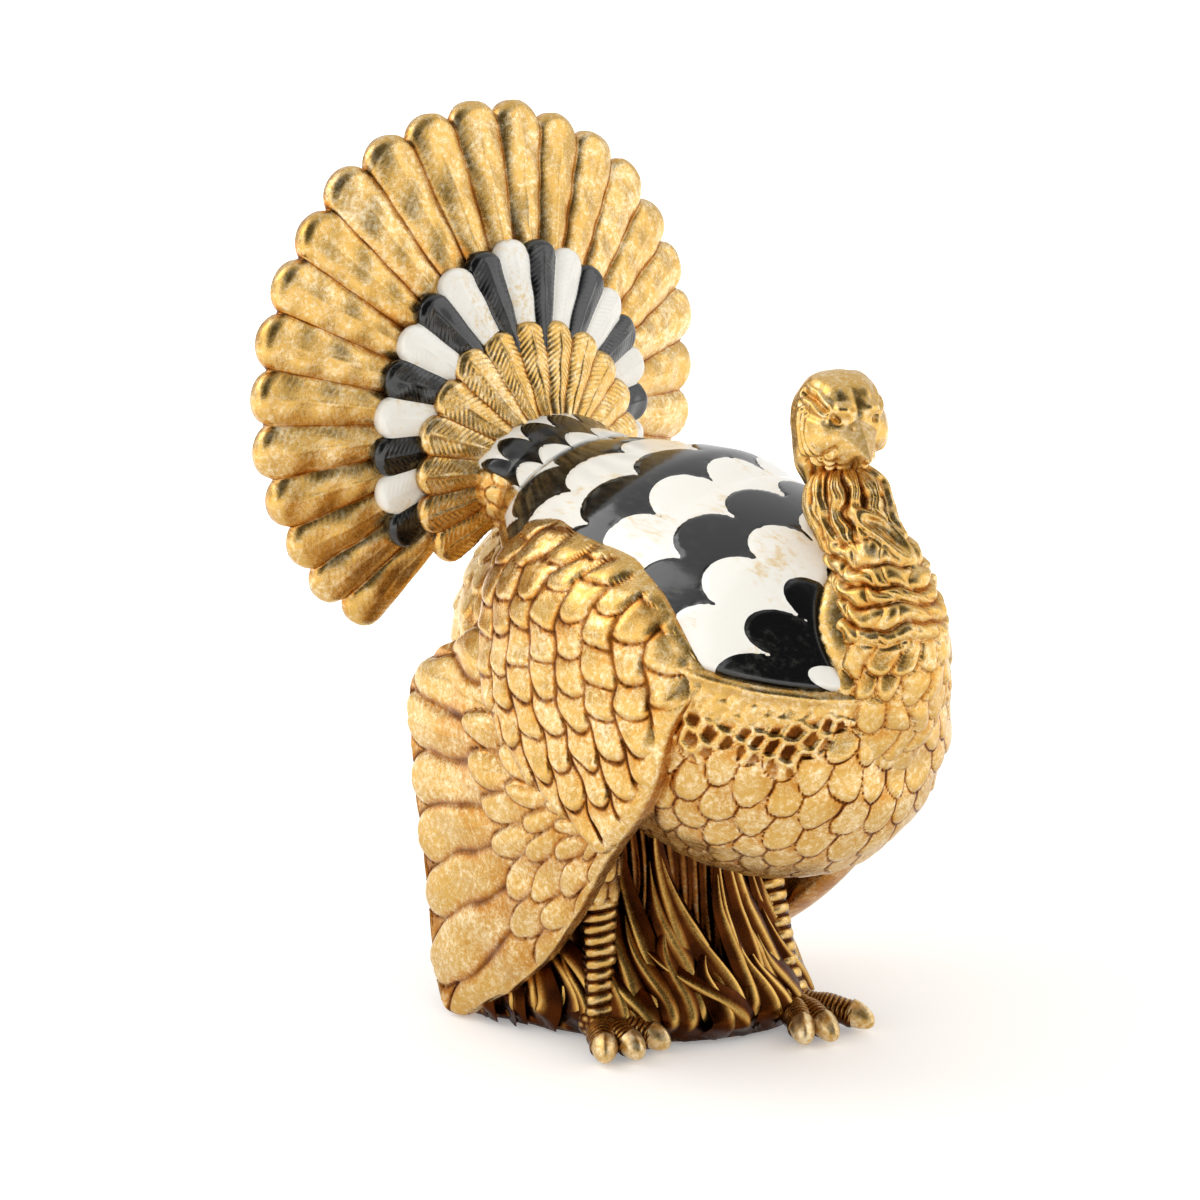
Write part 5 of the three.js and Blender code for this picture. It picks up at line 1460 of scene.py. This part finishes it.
# Settings that a user would change
class TurkeySizes(bpy.types.PropertyGroup):
    """Counts and sizes"""
    torso_rings: IntProperty(
        name="Torso rings", description="Rings of points along the breast and belly", default=256,
        min=40, max=400)
    breast_columns: IntProperty(
        name="Breast feathers", description="Feathers in a row round the breast", default=32, min=8, max=80)
    net_columns: IntProperty(
        name="Net cells", description="Small cells in a row round the upper breast", default=58,
        min=8, max=120)
    back_columns: IntProperty(
        name="Back feathers", description="Enamelled feathers in a row round the back", default=17,
        min=6, max=60)
    wing_column_width: FloatProperty(
        name="Wing feather width", description="Width of a small feather on the wing", default=17 * MM,
        unit="LENGTH", min=5 * MM, max=60 * MM)
    wing_row_height: FloatProperty(
        name="Wing feather height", description="Length of wing feather that shows in each row",
        default=15.5 * MM, unit="LENGTH", min=5 * MM, max=60 * MM)
    blade_count: IntProperty(
        name="Grass blades", description="Blades of grass round the mound", default=81, min=12, max=400)


def colour_property(name, description, hex_colour):
    """A colour that a user can change, given as an sRGB hex value."""
    return FloatVectorProperty(
        name=name, description=description, default=linear(hex_colour), size=4, subtype="COLOR", min=0, max=1)


class TurkeyColours(bpy.types.PropertyGroup):
    """Colours"""
    leaf: colour_property("Gold leaf", "Gold leaf over most of the bird", "#C9A055")
    bright_leaf: colour_property("Bright leaf", "Pale flecks where the leaf lies double", "#F9E8C2")
    bole: colour_property("Bole", "Orange ground that shows where the leaf is worn", "#B26C1F")
    umber: colour_property("Umber glaze", "Brown glaze in the seams", "#5E2C05")
    deep_umber: colour_property("Dark glaze", "Glaze over the legs and the grass", "#4E2406")
    ivory: colour_property("Ivory enamel", "Pale enamel", "#F6F3EA")
    black: colour_property("Black enamel", "Dark enamel", "#0C0C0D")
    ochre: colour_property("Ochre wash", "Strokes in the pale enamel", "#E4C583")
    olive: colour_property("Olive wash", "Strokes in the dark enamel", "#3A3A34")


def settings():
    """The sizes and the colours that are set now."""
    scene = bpy.context.scene
    return scene.turkey_sizes, scene.turkey_colours


def gold():
    """The gilding over the whole bird, made once."""
    colours = settings()[1]
    made = bpy.data.materials.get("gold_leaf_on_resin")
    return made or gilding("gold_leaf_on_resin", colours, colours.umber, worn=0.01, glaze=0.03, gloss=0.2)


def glazed():
    """The dark glaze over gilding on the legs and the grass, made once."""
    colours = settings()[1]
    made = bpy.data.materials.get("umber_glaze_on_gilding")
    return made or gilding(
        "umber_glaze_on_gilding", colours, colours.deep_umber, worn=0.1, glaze=0.27, gloss=0.18, fade=0.68)


def enamelled():
    """The enamel, made once."""
    colours = settings()[1]
    made = bpy.data.materials.get("brushed_enamel_on_resin")
    return made or enamel("brushed_enamel_on_resin", colours, 0.18)


# Operators, one for each piece or group of like pieces
class TURKEY_OT_body(bpy.types.Operator):
    """Builds the feathered breast and the enamelled back"""
    bl_idname = "turkey.body"
    bl_label = "Body"

    def execute(self, context):
        sizes = settings()[0]
        dress(build_breast(sizes), gold(), "gilded_resin", "breast_shell")
        dress(build_back(sizes), enamelled(), "enamelled_resin", "back_shell")
        return {"FINISHED"}


class TURKEY_OT_tail(bpy.types.Operator):
    """Builds the tail: its root, the three rows of the fan and the coverts under it"""
    bl_idname = "turkey.tail"
    bl_label = "Tail"

    def execute(self, context):
        dress(build_root(), gold(), "gilded_resin", "tail_root")
        dress(build_root_enamel(), enamelled(), "enamelled_resin", "tail_root")
        dress(build_outer_row(), gold(), "gilded_resin", "tail_outer_row")
        dress(build_middle_row(), enamelled(), "enamelled_resin", "tail_middle_row")
        dress(build_inner_row(), gold(), "gilded_resin", "tail_inner_row")
        dress(build_undertail(), gold(), "gilded_resin", "undertail_coverts")
        return {"FINISHED"}


class TURKEY_OT_wings(bpy.types.Operator):
    """Builds both wings: the shield of small feathers and the long feathers below it"""
    bl_idname = "turkey.wings"
    bl_label = "Wings"

    def execute(self, context):
        sizes = settings()[0]
        for side, mirror in (("right", False), ("left", True)):
            shield = build_shield(f"{side}_shield_feathers", mirror, sizes)
            flights = build_flights(f"{side}_flight_feathers", mirror)
            dress(shield, gold(), "gilded_resin", f"{side}_wing_shield")
            dress(flights, gold(), "gilded_resin", f"{side}_wing_flights")
        return {"FINISHED"}


class TURKEY_OT_head(bpy.types.Operator):
    """Builds the neck, the head and the beak"""
    bl_idname = "turkey.head"
    bl_label = "Neck and head"

    def execute(self, context):
        dress(build_neck(), gold(), "gilded_resin", "neck")
        dress(build_head(), gold(), "gilded_resin", "head")
        # Horn with a thin coat of gilding: paler, smoother and less metallic than the leaf.
        colours = settings()[1]
        horn = gilding(
            "pale_gilt_horn_on_resin", colours, colours.umber, worn=-0.04, glaze=0.0, gloss=0.3, metal=0.45)
        dress(build_beak(), horn, "gilded_resin", "head")
        return {"FINISHED"}


class TURKEY_OT_legs(bpy.types.Operator):
    """Builds the legs, the feet and their claws"""
    bl_idname = "turkey.legs"
    bl_label = "Legs and feet"

    def execute(self, context):
        colours = settings()[1]
        # Gold that has been rubbed clean: whole bright leaf, with the glaze only in the deepest places.
        rubbed = gilding("rubbed_gold_on_resin", colours, colours.umber, worn=-0.2, glaze=-0.1, gloss=0.3)
        for name, side in SIDES.items():
            dress(build_leg(f"{name}_leg_scales", side), glazed(), "umber_resin", f"{name}_leg")
            dress(build_foot(f"{name}_toes", side), glazed(), "umber_resin", f"{name}_foot")
            dress(build_claws(f"{name}_claws", side), rubbed, "gilded_resin", f"{name}_foot")
        return {"FINISHED"}


class TURKEY_OT_base(bpy.types.Operator):
    """Builds the mound and its grass"""
    bl_idname = "turkey.base"
    bl_label = "Grass base"

    def execute(self, context):
        sizes = settings()[0]
        dress(build_mound(), glazed(), "umber_resin", "grass_base")
        dress(build_grass(sizes), glazed(), "umber_resin", "grass_base")
        return {"FINISHED"}


class TURKEY_OT_hidden_parts(bpy.types.Operator):
    """Gives the felt, the plug, the pins, the rods and the dowels their finishes"""
    bl_idname = "turkey.hidden_parts"
    bl_label = "Felt, plug, pins and dowels"

    def execute(self, context):
        # Dense felt: short matted fibres, quite without gloss.
        felt = plain(
            "dense_felt", linear("#3A332C"), linear("#1E1A16"),
            grain=0.8 * MM, stretch=1, metallic=0.0, roughness=0.96, depth=0.3 * MM)
        # Moulded rubber: matt and even.
        rubber = plain(
            "moulded_rubber", linear("#2E2E2E"), linear("#232323"),
            grain=0.5 * MM, stretch=1, metallic=0.0, roughness=0.7, depth=0.05 * MM)
        # Drawn steel wire: grey, with fine lines along it.
        steel = plain(
            "drawn_steel", linear("#B4B6B9"), linear("#8E9094"),
            grain=0.3 * MM, stretch=30, metallic=1.0, roughness=0.35, depth=0.02 * MM)
        # Bare beech: pale, with short darker pores along the grain.
        beech = plain(
            "bare_beech", linear("#CFA878"), linear("#A9794A"),
            grain=0.7 * MM, stretch=14, metallic=0.0, roughness=0.7, depth=0.05 * MM)
        for name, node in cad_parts.items():
            kinds = {"felt": felt, "plug": rubber, "pin": steel, "rod": steel, "dowel": beech}
            finish = next((m for word, m in kinds.items() if word in name.split("_")), None)
            if finish:
                node.data.materials.clear()
                node.data.materials.append(finish)
        return {"FINISHED"}


class TURKEY_OT_stage(bpy.types.Operator):
    """Sets up the floor, the soft lights, the background and the camera"""
    bl_idname = "turkey.stage"
    bl_label = "Stage"

    def execute(self, context):
        build_floor()
        build_world()
        for light in LIGHTS:
            add_light(**light)
        add_camera()
        context.scene.view_settings.view_transform = "Standard"
        return {"FINISHED"}


class TURKEY_PT_panel(bpy.types.Panel):
    """Lists the pieces and their settings"""
    bl_idname = "TURKEY_PT_panel"
    bl_label = "Turkey figure"
    bl_space_type = "VIEW_3D"
    bl_region_type = "UI"
    bl_category = "Turkey"

    def draw(self, context):
        for group in settings():
            column = self.layout.column()
            for key in group.__annotations__:
                column.prop(group, key)
        for operator in OPERATORS:
            self.layout.operator(operator.bl_idname)


OPERATORS = (
    TURKEY_OT_body,
    TURKEY_OT_tail,
    TURKEY_OT_wings,
    TURKEY_OT_head,
    TURKEY_OT_legs,
    TURKEY_OT_base,
    TURKEY_OT_hidden_parts,
    TURKEY_OT_stage,
)
GROUPS = {"turkey_sizes": TurkeySizes, "turkey_colours": TurkeyColours}


def register():
    """Adds the settings, the operators and the panel."""
    for each in (*GROUPS.values(), *OPERATORS, TURKEY_PT_panel):
        bpy.utils.register_class(each)
    for name, group in GROUPS.items():
        setattr(bpy.types.Scene, name, PointerProperty(type=group))


def unregister():
    """Takes them away again."""
    for name in GROUPS:
        delattr(bpy.types.Scene, name)
    for each in (TURKEY_PT_panel, *reversed(OPERATORS), *GROUPS.values()):
        bpy.utils.unregister_class(each)


def main():
    """Builds every piece."""
    register()
    for operator in OPERATORS:
        group, name = operator.bl_idname.split(".")
        getattr(getattr(bpy.ops, group), name)()


if __name__ == "__main__":
    main()
